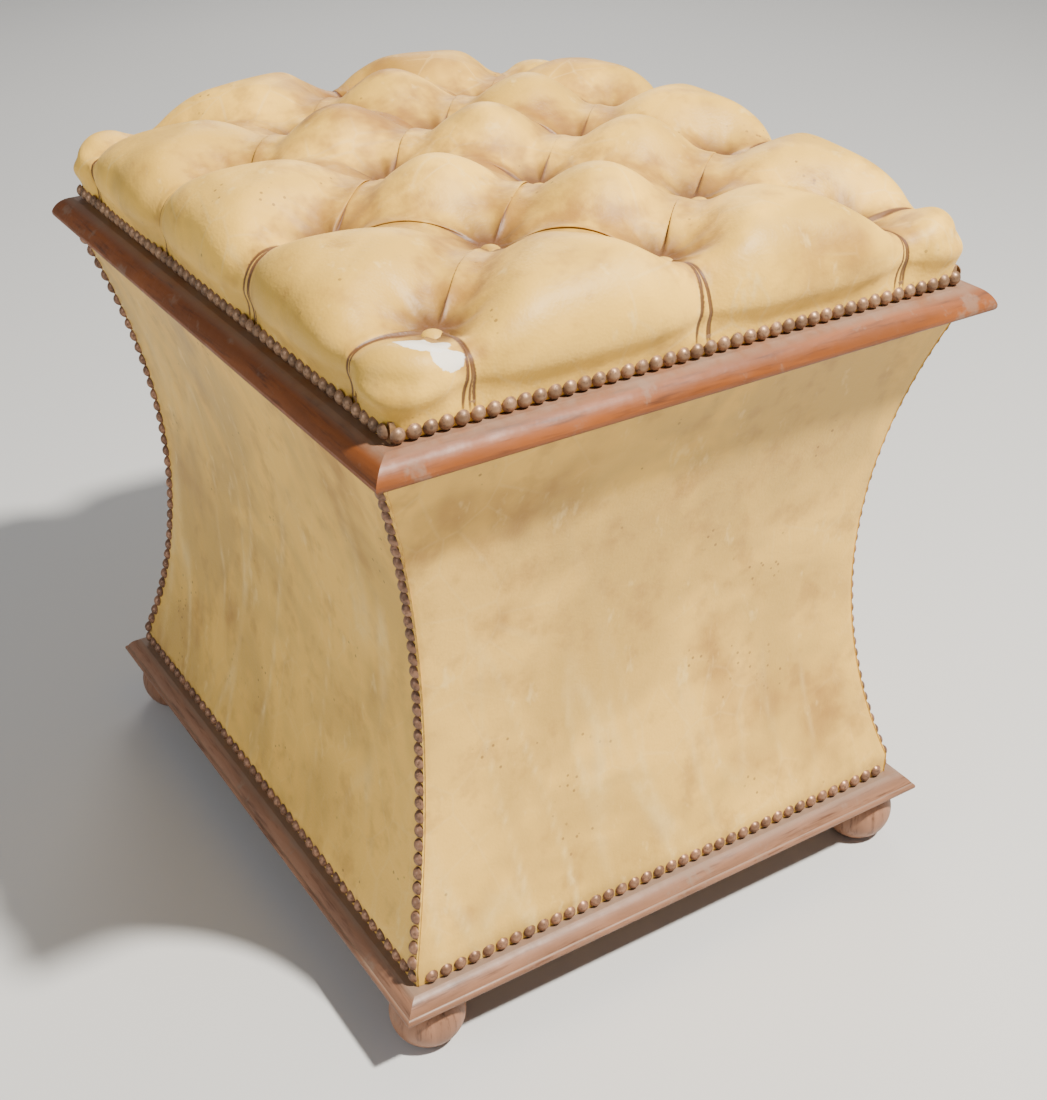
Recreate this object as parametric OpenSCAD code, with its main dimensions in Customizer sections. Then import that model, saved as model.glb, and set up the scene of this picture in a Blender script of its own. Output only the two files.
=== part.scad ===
// Box ottoman: a waisted, leather-covered storage box on ball feet, with a hinged, deep-buttoned
// cushion lid. Millimetres, +Z up. The origin is on the floor under the middle of the box.
// -Y is the front, the lid hinges along the top of the back (+Y), and -X is the left-hand side.

/* [Box] */
// Width of the leather box where it meets the plinth
box_w = 402; // [340:1:520]
// Depth of the leather box where it meets the plinth
box_d = 472; // [400:1:600]
// Height of the box's top edge above the floor
box_top = 431; // [390:1:500]
// How far each side is drawn in at the waist
waist_inset = 28; // [12:1:36]
// Height of the waist above the floor
waist_z = 242; // [225:1:262]
// Radius of the hollow curve of the sides
side_r = 525; // [430:5:800]
// Thickness of the leather with its thin wadding
leather_t = 3; // [1.5:0.5:5]

/* [Carcase] */
// Thickness of the boards round the storage well
panel_t = 12; // [8:1:18]
// Thickness of the floor board
floor_t = 12; // [8:1:18]
// Least depth of wood between the well boards and the leather
rib_min = 9; // [5:1:20]
// Thickness of each curved rib
rib_t = 18; // [12:1:28]
// Height of the top and base rails
rail_h = 30; // [24:1:40]
// Reach of a corner post along the well boards
post_reach = 28; // [18:1:45]
// Thickness of the lining cloth
lining_t = 1; // [0.5:0.1:2]
// How far the lining stops below the top edge
lining_drop = 6; // [3:1:15]

/* [Mouldings] */
// How far a moulding stands out from the wood behind it
mould_out = 19.5; // [14:0.5:26]
// Height of the plinth moulding
plinth_h = 14; // [12:0.5:20]
// Height of the lid moulding
lid_mould_h = 16; // [13:0.5:20]
// Width of the flat ledge on top of a moulding
mould_ledge = 6.5; // [5:0.5:9]
// Radius of the rounded nose under a moulding
mould_nose_r = 3; // [1:0.5:4]
// How far the lid moulding's tip stands past the top of the box
lid_overhang = 10.8; // [7:0.2:16]

/* [Feet] */
// Radius of a ball foot
foot_r = 25.5; // [23:0.5:34]
// Height of a foot
foot_h = 43; // [34:1:45]
// Radius of the dowel on top of a foot
dowel_r = 6; // [4:0.5:7]
// Wood of the base rails left outside a dowel
dowel_wall = 3.5; // [2:0.5:8]
// Length of the dowel on top of a foot
dowel_l = 16; // [10:1:16]

/* [Nails] */
// Radius of a nail's domed head
nail_r = 4.6; // [3.6:0.1:5]
// Height of a nail's domed head
nail_dome = 3.4; // [2:0.1:3.5]
// Radius of a nail's shank
shank_r = 0.8; // [0.6:0.1:1.2]
// Length of a nail's shank below the head
shank_l = 10; // [6:1:14]
// Spacing of the nails along the plinth
plinth_pitch = 10.5; // [10.2:0.1:14]
// Spacing of the nails along the lid and up the edges
close_pitch = 9.5; // [9.3:0.1:14]

/* [Lid] */
// Gap between the box's top edge and the closed lid
lid_gap = 0.4; // [0.3:0.1:1]
// How far the lid stands forward of the box, so that its back edge clears when it opens
lid_forward = 6; // [3:0.5:8]
// Thickness of the lid's wooden frame
lid_frame_h = 27; // [22:1:32]
// Width of the lid's frame members
lid_rail_w = 45; // [32:1:60]
// Thickness of the cover's leather
cover_t = 2; // [1:0.5:3]
// Thickness of the webbing that carries the stuffing
web_t = 1.2; // [0.8:0.1:2]
// Width of a webbing strap
web_w = 50; // [35:1:55]
// Straps across the width, and the same number across the depth
web_count = 4; // [2:1:4]

/* [Cushion] */
// Height of the cushion's crown above the lid frame
crown_h = 78; // [66:1:100]
// Radius of the crown across the cushion
crown_r = 900; // [700:50:1600]
// How far the cushion swells past the nail line
cushion_swell = 9; // [4:1:14]
// Radius of the rounded side of the cushion
side_round = 34; // [26:1:36]
// Radius of the cushion's corners in plan
corner_r = 42; // [30:1:60]
// Rows of buttons from front to back, wide and narrow rows in turn
button_rows = 7; // [3:2:9]
// Distance between rows of buttons
row_step = 65.5; // [60:0.5:75]
// Distance from one button to the next along a row
button_step = 152; // [130:1:165]
// Depth of a button below the crown
button_depth = 34; // [20:1:40]
// Radius of a covered button
button_r = 7; // [5:0.5:9]
// Thickness of a covered button
button_t = 5; // [3:0.5:7]

/* [Hinges] */
// Distance from the middle of the lid to the middle of each hinge
hinge_x = 120; // [70:1:145]
// Length of a hinge
hinge_l = 50; // [40:1:70]
// How far a hinge leaf reaches over the lid's frame
leaf_reach = 13.5; // [12:0.5:20]
// Thickness of a hinge leaf
leaf_t = 1.6; // [1.2:0.1:2.2]
// Outer radius of a hinge knuckle
knuckle_r = 3.6; // [3.2:0.1:4.4]
// Radius of a hinge pin
pin_r = 1.8; // [1.4:0.1:2.2]
// Radial clearance of the lid's knuckle on the pin
pin_clear = 0.05; // [0.03:0.01:0.1]
// Clearance round a knuckle and between knuckles
knuckle_clear = 0.5; // [0.4:0.1:1]
// Length of a hinge screw
screw_l = 12; // [8:1:16]
// Radius of a hinge screw's shank
screw_r = 1.5; // [1.2:0.1:1.8]

/* [Hidden] */
$fn = 48;
round_fn = 360;
nail_fn = 24;
beyond = 900;
overlap = 0.5;

// Levels, from the floor up
plinth_z = foot_h;
plinth_top = plinth_z + plinth_h;
rails_top = plinth_z + rail_h;
top_rails_z = box_top - rail_h;
arc_foot_z = waist_z - sqrt(waist_inset * (2 * side_r - waist_inset));
hinge_z = box_top + lid_gap / 2;
lid_z = box_top + lid_gap;
lid_frame_z = lid_z + lining_t;
lid_frame_top = lid_frame_z + lid_frame_h;
lid_ledge = lid_z + lid_mould_h;
stuffing_z = lid_frame_top + web_t;
crown_top = lid_frame_top + crown_h;

// Half sizes in plan, [across X, across Y]
box_half = [box_w / 2, box_d / 2];
top_flare = side_r - sqrt(side_r * side_r - (box_top - waist_z) * (box_top - waist_z)) - waist_inset;
top_half = box_half + [top_flare, top_flare];
rail_half = box_half - [leather_t, leather_t];
plinth_half = rail_half + [mould_out, mould_out];
well_out = rail_half - [waist_inset + rib_min, waist_inset + rib_min];
well_in = well_out - [panel_t, panel_t];
lid_half = top_half + [lid_overhang, lid_overhang];
frame_half = lid_half - [mould_out, mould_out];
nail_half = frame_half + [cover_t, cover_t];
swell_half = nail_half + [cushion_swell, cushion_swell];

// Centre that the shoulder of both mouldings is struck from
shoulder_c = [2.6, -1.4];
// Bare border left round the cloth under the lid
lining_border = 12;

hinge_y = top_half[1];
leaf_w = hinge_y - frame_half[1] + lid_forward + leaf_reach;
knuckle_l = hinge_l / 3;
screw_head_r = 2 * screw_r;
nail_ball_r = (nail_r * nail_r + nail_dome * nail_dome) / (2 * nail_dome);
nail_gap = 1.2;
shank_gap = 0.1;
nail_start = nail_r + nail_gap / 2;
plinth_nail_z = plinth_top + nail_r + nail_gap;
lid_nail_z = lid_ledge + nail_r + nail_gap;

// ---- shared shapes ----

// A box between two corners
module block(low, high) {
    translate(low) cube(high - low);
}

// Outline of the box seen square on, drawn in by inset all round: straight at the foot, then one
// hollow arc on each side up to the flared top
module waisted_outline(half, inset, z0, z1) {
    difference() {
        translate([-half * 2, z0]) square([half * 4, z1 - z0]);
        for (side = [-1, 1]) {
            translate([side * (half - waist_inset + side_r), waist_z])
                circle(r = side_r + inset, $fn = round_fn);
            translate([side * (half - inset + beyond / 2), arc_foot_z - beyond / 2])
                square([beyond, beyond], center = true);
        }
    }
}

// The waisted outline carried through the box: axis 0 bounds it in X, axis 1 in Y
module waisted_prism(axis, inset, z0, z1) {
    rotate([90, 0, axis * 90])
        linear_extrude(height = beyond, center = true)
            waisted_outline(box_half[axis], inset, z0, z1);
}

// The whole waisted block inside the leather
module carcase_block(z0, z1) {
    intersection() {
        waisted_prism(0, leather_t, z0, z1);
        waisted_prism(1, leather_t, z0, z1);
    }
}

// How far the leather stands in from its foot at an angle up the hollow arc
function arc_inset(a) = waist_inset - side_r * (1 - cos(a));
function arc_z(a) = waist_z + side_r * sin(a);

// Moulding section, inner face at x = 0 and underside at y = 0: a flat ledge, a rounded shoulder
// struck from shoulder_c, and a small round nose
module moulding_section(h) {
    shoulder_r = max(norm([mould_ledge, h] - shoulder_c), mould_out - shoulder_c[0] - overlap);
    nose = mould_out - mould_nose_r;
    difference() {
        intersection() {
            square([mould_out, h]);
            translate(shoulder_c) circle(r = shoulder_r, $fn = 96);
        }
        translate([nose, -overlap]) square([mould_out, mould_nose_r + overlap]);
    }
    translate([nose, mould_nose_r]) circle(r = mould_nose_r);
}

// Turns what is drawn facing +X to face out of one side: with axis 0 the left (side -1) or the
// right (side 1), with axis 1 the front (side -1) or the back (side 1)
module facing(axis, side) {
    rotate([0, 0, axis == 0 ? (side > 0 ? 0 : 180) : side * 90]) children();
}

// The room that a mitred piece may fill on one side of a frame, from inner behind the frame's
// face to outer in front of it
module mitre_wedge(half, inner, outer, z0, z1, axis, side) {
    run = half[1 - axis];
    facing(axis, side)
        translate([half[axis], 0, z0])
            linear_extrude(height = z1 - z0)
                polygon([
                    [-inner, inner - run], [outer, -run - outer],
                    [outer, run + outer], [-inner, run - inner]
                ]);
}

// One mitred length of moulding round a frame
module moulding(half, z, h, axis, side) {
    intersection() {
        facing(axis, side)
            translate([half[axis], 0, z])
                rotate([90, 0, 0])
                    linear_extrude(height = beyond, center = true) moulding_section(h);
        mitre_wedge(half, overlap, mould_out + overlap, z - overlap, z + h + overlap, axis, side);
    }
}

// A domed upholstery nail: the head stands on z = 0 and the shank runs down
module nail() {
    rotate_extrude($fn = nail_fn)
        intersection() {
            translate([0, nail_dome - nail_ball_r]) circle(r = nail_ball_r, $fn = 64);
            square([nail_r * 2, nail_r * 2]);
        }
    translate([0, 0, -shank_l]) cylinder(r = shank_r, h = shank_l + overlap, $fn = nail_fn);
}

// Places a nail at a point so that it faces out of one side: tilt leans the head up
module nail_facing(point, axis, side, tilt) {
    translate(point)
        facing(axis, side)
            rotate([0, 90 - tilt, 0])
                nail();
}

// A straight row of nails on one face of a box of half size half, its end nails at start from the
// corners. Rows on neighbouring faces differ in level by the thickness of a shank, so that the
// shanks of the corner nails pass each other.
module nail_row(half, z, pitch, start, axis, side) {
    reach = half[1 - axis] - start;
    count = floor(2 * reach / pitch);
    level = z + (axis == 0 ? 1 : -1) * (shank_r + shank_gap);
    for (i = [0 : count]) {
        along = -reach + 2 * reach * i / count;
        point = axis == 0 ? [side * half[0], along, level] : [along, side * half[1], level];
        nail_facing(point, axis, side, 0);
    }
}

// A column of nails up one upright edge, on the left or right face beside the front or back
module nail_column(side_x, side_y) {
    foot_z = plinth_nail_z + shank_r + shank_gap + 2 * nail_start;
    a0 = asin((foot_z - waist_z) / side_r);
    a1 = asin((box_top - nail_r - nail_gap - waist_z) / side_r);
    count = floor((a1 - a0) * PI / 180 * side_r / close_pitch);
    for (i = [0 : count]) {
        a = a0 + (a1 - a0) * i / count;
        point = [
            side_x * (box_half[0] - arc_inset(a)),
            side_y * (box_half[1] - arc_inset(a) - nail_start),
            arc_z(a)
        ];
        nail_facing(point, 0, side_x, -a);
    }
}

// ---- carcase ----

module floor_board() {
    color("burlywood")
        block([-well_out[0], -well_out[1], plinth_z], [well_out[0], well_out[1], plinth_z + floor_t]);
}

// Well board along the front or back, full width
module long_panel(side) {
    color("burlywood")
        translate([0, side * (well_in[1] + panel_t / 2), 0])
            block([-well_out[0], -panel_t / 2, plinth_z + floor_t], [well_out[0], panel_t / 2, box_top]);
}

// Well board along the left or right, between the front and back boards
module short_panel(side) {
    color("burlywood")
        translate([side * (well_in[0] + panel_t / 2), 0, 0])
            block([-panel_t / 2, -well_in[1], plinth_z + floor_t], [panel_t / 2, well_in[1], box_top]);
}

module front_panel() { long_panel(-1); }
module back_panel() { long_panel(1); }
module left_panel() { short_panel(-1); }
module right_panel() { short_panel(1); }

module well_lining() {
    bottom = plinth_z + floor_t;
    top = box_top - lining_drop;
    color("tan")
        difference() {
            block([-well_in[0], -well_in[1], bottom], [well_in[0], well_in[1], top]);
            block([-well_in[0] + lining_t, -well_in[1] + lining_t, bottom + lining_t],
                  [well_in[0] - lining_t, well_in[1] - lining_t, top + overlap]);
        }
}

// A rail round the outside of the well boards, shaped to the leather: the front and back rails
// run the full width and the side rails fit between them
module rail(axis, side, z0, z1) {
    color("peru")
        intersection() {
            carcase_block(z0, z1);
            if (axis == 1)
                translate([0, side * (well_out[1] + beyond / 2), 0])
                    cube([2 * beyond, beyond, 2 * beyond], center = true);
            else
                translate([side * (well_out[0] + beyond / 2), 0, 0])
                    cube([beyond, 2 * well_out[1], 2 * beyond], center = true);
        }
}

// A base rail is drilled for the dowels of the feet when it lies along the front or back
module base_rail(axis, side) {
    color("peru")
        difference() {
            rail(axis, side, plinth_z, rails_top);
            if (axis == 1)
                for (side_x = [-1, 1])
                    foot_place(side_x, side)
                        translate([0, 0, foot_h - overlap]) cylinder(r = dowel_r, h = dowel_l + overlap);
        }
}

module base_rail_front() { base_rail(1, -1); }
module base_rail_back() { base_rail(1, 1); }
module base_rail_left() { base_rail(0, -1); }
module base_rail_right() { base_rail(0, 1); }
module top_rail_front() { rail(1, -1, top_rails_z, box_top); }
module top_rail_left() { rail(0, -1, top_rails_z, box_top); }
module top_rail_right() { rail(0, 1, top_rails_z, box_top); }

module top_rail_back() {
    color("peru")
        difference() {
            rail(1, 1, top_rails_z, box_top);
            hinge_housings_box();
        }
}

// An L-shaped post round the corner of the well, shaped to the leather on both faces
module corner_post(side_x, side_y) {
    inner = well_out - [post_reach, post_reach];
    color("peru")
        intersection() {
            carcase_block(rails_top, top_rails_z);
            difference() {
                scale([side_x, side_y, 1])
                    block([inner[0], inner[1], 0], [beyond, beyond, beyond]);
                block([-well_out[0], -well_out[1], 0], [well_out[0], well_out[1], beyond]);
            }
        }
}

module corner_post_front_left() { corner_post(-1, -1); }
module corner_post_front_right() { corner_post(1, -1); }
module corner_post_back_left() { corner_post(-1, 1); }
module corner_post_back_right() { corner_post(1, 1); }

// Curved ribs between the rails that carry the leather: two on each of two opposite sides
module ribs(axis) {
    spread = well_out[1 - axis] / 3;
    color("peru")
        for (side = [-1, 1], place = [-spread, spread])
            intersection() {
                carcase_block(rails_top, top_rails_z);
                if (axis == 1)
                    translate([place, side * (well_out[1] + beyond / 2), 0])
                        cube([rib_t, beyond, 2 * beyond], center = true);
                else
                    translate([side * (well_out[0] + beyond / 2), place, 0])
                        cube([beyond, rib_t, 2 * beyond], center = true);
            }
}

module ribs_front_and_back() { ribs(1); }
module ribs_left_and_right() { ribs(0); }

// ---- leather of the box ----

// One side's leather: it follows the waisted wood and meets its neighbours in a mitre at the edges
module cover(axis, side) {
    color("khaki")
        intersection() {
            difference() {
                waisted_prism(axis, 0, plinth_top, box_top);
                waisted_prism(axis, leather_t, 0, box_top + overlap);
            }
            mitre_wedge(
                box_half, waist_inset + leather_t + overlap, top_flare + overlap, 0, beyond, axis, side
            );
        }
}

module front_cover() { cover(1, -1); }
module left_cover() { cover(0, -1); }
module right_cover() { cover(0, 1); }

module back_cover() {
    color("khaki")
        difference() {
            cover(1, 1);
            hinge_housings_box();
        }
}

// ---- plinth, feet and nails of the box ----

module plinth(axis, side) {
    color("sienna") moulding(rail_half, plinth_z, plinth_h, axis, side);
}

module plinth_front() { plinth(1, -1); }
module plinth_back() { plinth(1, 1); }
module plinth_left() { plinth(0, -1); }
module plinth_right() { plinth(0, 1); }

module foot_place(side_x, side_y) {
    reach = rail_half - [dowel_r + dowel_wall, dowel_r + dowel_wall];
    translate([side_x * reach[0], side_y * reach[1], 0])
        children();
}

// A turned ball foot, flat on top and underneath, with its dowel
module foot(side_x, side_y) {
    color("sienna")
        foot_place(side_x, side_y) {
            rotate_extrude()
                intersection() {
                    translate([0, foot_h / 2]) circle(r = foot_r, $fn = 96);
                    square([2 * foot_r, foot_h]);
                }
            translate([0, 0, foot_h - overlap]) cylinder(r = dowel_r, h = dowel_l + overlap);
        }
}

module foot_front_left() { foot(-1, -1); }
module foot_front_right() { foot(1, -1); }
module foot_back_left() { foot(-1, 1); }
module foot_back_right() { foot(1, 1); }

// Along the foot of the leather; the side rows run right to the corners
module plinth_nails() {
    color("rosybrown")
        for (side = [-1, 1]) {
            nail_row(box_half, plinth_nail_z, plinth_pitch, nail_start, 0, side);
            nail_row(box_half, plinth_nail_z, plinth_pitch, plinth_pitch, 1, side);
        }
}

// Up both edges of the left and right faces
module edge_nails() {
    color("rosybrown")
        for (side_x = [-1, 1], side_y = [-1, 1])
            nail_column(side_x, side_y);
}

// ---- lid ----

// Everything of the lid but its hinges is drawn about the lid's own middle
module on_lid() {
    translate([0, -lid_forward, 0]) children();
}

// A member of the lid's frame: the front and back rails run the full width
module lid_rail(axis, side) {
    half = axis == 1
        ? [frame_half[0], lid_rail_w / 2]
        : [lid_rail_w / 2, frame_half[1] - lid_rail_w];
    shift = axis == 1
        ? [0, side * (frame_half[1] - lid_rail_w / 2), 0]
        : [side * (frame_half[0] - lid_rail_w / 2), 0, 0];
    color("peru")
        difference() {
            on_lid()
                translate(shift)
                    block([-half[0], -half[1], lid_frame_z], [half[0], half[1], lid_frame_top]);
            if (axis == 1 && side > 0)
                hinge_housings_lid();
        }
}

module lid_rail_front() { lid_rail(1, -1); }
module lid_rail_back() { lid_rail(1, 1); }
module lid_rail_left() { lid_rail(0, -1); }
module lid_rail_right() { lid_rail(0, 1); }

// Straps over the frame both ways; each strap stops short of the leather
module lid_webbing() {
    reach = frame_half - [lid_rail_w / 3, lid_rail_w / 3];
    field = frame_half - [lid_rail_w, lid_rail_w];
    color("wheat")
        on_lid()
            for (i = [0 : web_count - 1]) {
                place = (2 * i + 1) / web_count - 1;
                block([-reach[0], place * field[1] - web_w / 2, lid_frame_top],
                      [reach[0], place * field[1] + web_w / 2, lid_frame_top + web_t / 2]);
                block([place * field[0] - web_w / 2, -reach[1], lid_frame_top + web_t / 2],
                      [place * field[0] + web_w / 2, reach[1], stuffing_z]);
            }
}

// Cloth that closes the underside of the lid, clear of the hinge leaves
module lid_lining() {
    reach = frame_half - [lining_border, lining_border];
    color("tan")
        block([-reach[0], -reach[1] - lid_forward, lid_z],
              [reach[0], hinge_y - leaf_w - lining_border, lid_frame_z]);
}

module lid_moulding(axis, side) {
    color("sienna")
        on_lid() moulding(frame_half, lid_z, lid_mould_h, axis, side);
}

module lid_moulding_front() { lid_moulding(1, -1); }
module lid_moulding_left() { lid_moulding(0, -1); }
module lid_moulding_right() { lid_moulding(0, 1); }

module lid_moulding_back() {
    color("sienna")
        difference() {
            lid_moulding(1, 1);
            hinge_housings_lid();
        }
}

// Cushion seen square on, drawn in by inset: upright sides with round shoulders, under a crown
module cushion_outline(half, inset, z0) {
    top = crown_top - inset;
    shoulder = [half - side_round, crown_top - side_round * 1.5];
    intersection() {
        union() {
            translate([-shoulder[0], z0]) square([2 * shoulder[0], top - z0]);
            for (side = [-1, 1])
                translate([side * shoulder[0], shoulder[1]]) circle(r = side_round - inset, $fn = 96);
            translate([-half + cushion_swell + inset, z0])
                square([2 * (half - cushion_swell - inset), shoulder[1] - z0]);
        }
        translate([0, crown_top - crown_r]) circle(r = crown_r - inset, $fn = round_fn);
        translate([-half, z0]) square([2 * half, top - z0]);
    }
}

module cushion_block(inset, z0) {
    r = corner_r - inset;
    half = swell_half - [inset, inset];
    intersection() {
        rotate([90, 0, 0])
            linear_extrude(height = beyond, center = true) cushion_outline(swell_half[0], inset, z0);
        rotate([90, 0, 90])
            linear_extrude(height = beyond, center = true) cushion_outline(swell_half[1], inset, z0);
        union() {
            block([-half[0], -half[1] + r, z0], [half[0], half[1] - r, crown_top]);
            block([-half[0] + r, -half[1], z0], [half[0] - r, half[1], crown_top]);
            for (x = [-1, 1], y = [-1, 1])
                translate([x * (half[0] - r), y * (half[1] - r), z0]) cylinder(r = r, h = crown_top - z0);
        }
    }
}

// Centres of the buttons: wide rows have one more button than narrow rows
button_points = [
    for (row = [0 : button_rows - 1])
        let (wide = row % 2 == 0, count = wide ? 3 : 2)
            for (i = [0 : count - 1])
                [(i - (count - 1) / 2) * button_step, (row - (button_rows - 1) / 2) * row_step]
];
button_z = crown_top - button_depth;

// A tapered pit in the cushion over each button, drawn in by inset
module button_pits(inset) {
    for (p = button_points)
        translate([p[0], p[1], button_z - inset])
            rotate_extrude()
                polygon([
                    [0, 0], [button_r + inset, 0], [button_r + inset, button_t / 2],
                    [button_r + inset + button_depth / 2, button_depth + button_t],
                    [0, button_depth + button_t]
                ]);
}

module cushion_stuffing() {
    color("ivory")
        on_lid()
            difference() {
                cushion_block(cover_t, stuffing_z);
                button_pits(cover_t);
            }
}

module cushion_cover() {
    color("khaki")
        on_lid() {
            difference() {
                union() {
                    cushion_block(0, lid_frame_top);
                    block([-nail_half[0], -nail_half[1], lid_ledge],
                          [nail_half[0], nail_half[1], lid_frame_top + cover_t]);
                }
                cushion_block(cover_t, lid_frame_top - overlap);
                block([-frame_half[0], -frame_half[1], 0], [frame_half[0], frame_half[1], stuffing_z]);
                button_pits(0);
            }
            intersection() {
                cushion_block(cover_t, stuffing_z);
                difference() {
                    button_pits(cover_t);
                    button_pits(0);
                }
            }
        }
}

// Leather-covered buttons, domed on top
module cushion_buttons() {
    dome_r = (button_r * button_r + button_t * button_t / 4) / button_t;
    color("darkkhaki")
        for (p = button_points)
            translate([p[0], p[1] - lid_forward, button_z])
                rotate_extrude() {
                    square([button_r, button_t / 2]);
                    translate([0, button_t / 2])
                        intersection() {
                            translate([0, button_t / 2 - dome_r]) circle(r = dome_r, $fn = 64);
                            square([button_r, button_t]);
                        }
                }
}

// Round the foot of the cushion, just above the ledge of the moulding
module lid_nails() {
    color("rosybrown")
        on_lid()
            for (axis = [0, 1], side = [-1, 1])
                nail_row(nail_half, lid_nail_z, close_pitch, nail_start, axis, side);
}

// ---- hinges ----

// Room for the closed leaf and both sets of knuckles, cut into the wood above or below the joint
module hinge_housing(z0, z1) {
    leaf_in = hinge_y - leaf_w;
    for (side = [-1, 1])
        translate([side * hinge_x, 0, 0]) {
            block([-hinge_l / 2, leaf_in, z0], [hinge_l / 2, hinge_y, z1]);
            translate([-hinge_l / 2 - knuckle_clear, hinge_y, hinge_z])
                rotate([0, 90, 0])
                    cylinder(r = knuckle_r + knuckle_clear, h = hinge_l + 2 * knuckle_clear);
        }
}

module hinge_housings_box() { hinge_housing(box_top - leaf_t, box_top + overlap); }
module hinge_housings_lid() { hinge_housing(lid_z - overlap, lid_z + leaf_t); }

// Places of the three screws in a leaf, as [along the hinge, in from the pin]
screw_near = leaf_w - leaf_reach * 2 / 3;
screw_far = leaf_w - leaf_reach / 3;
screw_points = [[-hinge_l / 3, screw_near], [0, screw_far], [hinge_l / 3, screw_near]];

// One countersunk wood screw, head up at z = 0
module screw() {
    rotate_extrude($fn = nail_fn)
        polygon([
            [0, 0], [screw_head_r, 0], [screw_r, -leaf_t], [screw_r, -screw_l + screw_r * 2], [0, -screw_l]
        ]);
}

// The screws of both hinges: up is -1 for the box and 1 for the lid
module hinge_screws(up, z) {
    for (side = [-1, 1], p = screw_points)
        translate([side * hinge_x + p[0], hinge_y - p[1], z])
            rotate([up > 0 ? 180 : 0, 0, 0])
                screw();
}

module hinge_screws_box() { color("goldenrod") hinge_screws(-1, box_top); }
module hinge_screws_lid() { color("goldenrod") hinge_screws(1, lid_z); }

// A knuckle along X, bored for the pin
module knuckle(x0, x1, bore) {
    translate([x0, 0, 0])
        rotate([0, 90, 0])
            difference() {
                cylinder(r = knuckle_r, h = x1 - x0);
                translate([0, 0, -overlap]) cylinder(r = bore, h = x1 - x0 + 2 * overlap);
            }
}

// A leaf with its knuckles, pin along X through the origin of the hinge: outer knuckles belong to
// the box leaf and the middle knuckle to the lid leaf
module hinge_leaf(side, outer) {
    level = outer ? box_top - leaf_t : lid_z;
    bore = outer ? pin_r : pin_r + pin_clear;
    split = (knuckle_l + knuckle_clear) / 2;
    middle = (knuckle_l - knuckle_clear) / 2;
    spans = outer ? [[-hinge_l / 2, -split], [split, hinge_l / 2]] : [[-middle, middle]];
    plate_end = hinge_y - knuckle_r - knuckle_clear;
    color("goldenrod")
        difference() {
            translate([side * hinge_x, 0, 0]) {
                block([-hinge_l / 2, hinge_y - leaf_w, level], [hinge_l / 2, plate_end, level + leaf_t]);
                for (s = spans) {
                    difference() {
                        block([s[0], plate_end - overlap, level], [s[1], hinge_y, level + leaf_t]);
                        translate([s[0] - overlap, hinge_y, hinge_z])
                            rotate([0, 90, 0])
                                cylinder(r = (knuckle_r + pin_r) / 2, h = s[1] - s[0] + 2 * overlap);
                    }
                    translate([0, hinge_y, hinge_z]) knuckle(s[0], s[1], bore);
                }
            }
            hinge_screws(outer ? -1 : 1, outer ? box_top : lid_z);
        }
}

module hinge_leaf_box_left() { hinge_leaf(-1, true); }
module hinge_leaf_box_right() { hinge_leaf(1, true); }
module hinge_leaf_lid_left() { hinge_leaf(-1, false); }
module hinge_leaf_lid_right() { hinge_leaf(1, false); }

module hinge_pins() {
    color("goldenrod")
        for (side = [-1, 1])
            translate([side * hinge_x - hinge_l / 2, hinge_y, hinge_z])
                rotate([0, 90, 0])
                    cylinder(r = pin_r, h = hinge_l);
}

floor_board();
front_panel();
back_panel();
left_panel();
right_panel();
well_lining();
base_rail_front();
base_rail_back();
base_rail_left();
base_rail_right();
top_rail_front();
top_rail_back();
top_rail_left();
top_rail_right();
corner_post_front_left();
corner_post_front_right();
corner_post_back_left();
corner_post_back_right();
ribs_front_and_back();
ribs_left_and_right();
front_cover();
back_cover();
left_cover();
right_cover();
plinth_front();
plinth_back();
plinth_left();
plinth_right();
foot_front_left();
foot_front_right();
foot_back_left();
foot_back_right();
plinth_nails();
edge_nails();
hinge_leaf_box_left();
hinge_leaf_box_right();
hinge_pins();
hinge_screws_box();
lid_rail_front();
lid_rail_back();
lid_rail_left();
lid_rail_right();
lid_webbing();
lid_lining();
lid_moulding_front();
lid_moulding_back();
lid_moulding_left();
lid_moulding_right();
cushion_stuffing();
cushion_cover();
cushion_buttons();
lid_nails();
hinge_leaf_lid_left();
hinge_leaf_lid_right();
hinge_screws_lid();
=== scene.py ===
import math
import random

import bmesh
import bpy
import numpy as np
from bpy.props import FloatProperty, FloatVectorProperty, IntProperty, PointerProperty
from mathutils import Matrix, Vector, noise
from mathutils.geometry import delaunay_2d_cdt


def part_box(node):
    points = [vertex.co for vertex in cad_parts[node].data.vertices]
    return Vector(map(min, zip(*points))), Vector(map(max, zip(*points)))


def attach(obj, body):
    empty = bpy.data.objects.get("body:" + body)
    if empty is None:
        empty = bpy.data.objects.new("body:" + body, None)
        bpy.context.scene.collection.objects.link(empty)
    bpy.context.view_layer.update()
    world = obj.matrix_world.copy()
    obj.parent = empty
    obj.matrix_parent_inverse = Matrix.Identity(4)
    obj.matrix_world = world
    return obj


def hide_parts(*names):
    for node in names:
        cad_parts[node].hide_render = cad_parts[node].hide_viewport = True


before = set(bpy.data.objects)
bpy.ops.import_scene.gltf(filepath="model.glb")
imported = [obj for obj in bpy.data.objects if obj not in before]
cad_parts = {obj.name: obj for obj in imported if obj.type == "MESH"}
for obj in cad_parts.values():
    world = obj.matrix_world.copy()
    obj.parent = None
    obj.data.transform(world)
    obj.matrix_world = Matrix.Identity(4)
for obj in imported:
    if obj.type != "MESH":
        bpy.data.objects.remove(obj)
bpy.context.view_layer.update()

bl_info = {
    "name": "Buttoned Box Ottoman",
    "version": (1, 0, 0),
    "blender": (4, 5, 0),
    "location": "View3D > Sidebar > Ottoman",
    "description": "Dresses the frame of a waisted box ottoman in leather, cloth, wood and brass",
    "category": "Object",
}

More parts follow.
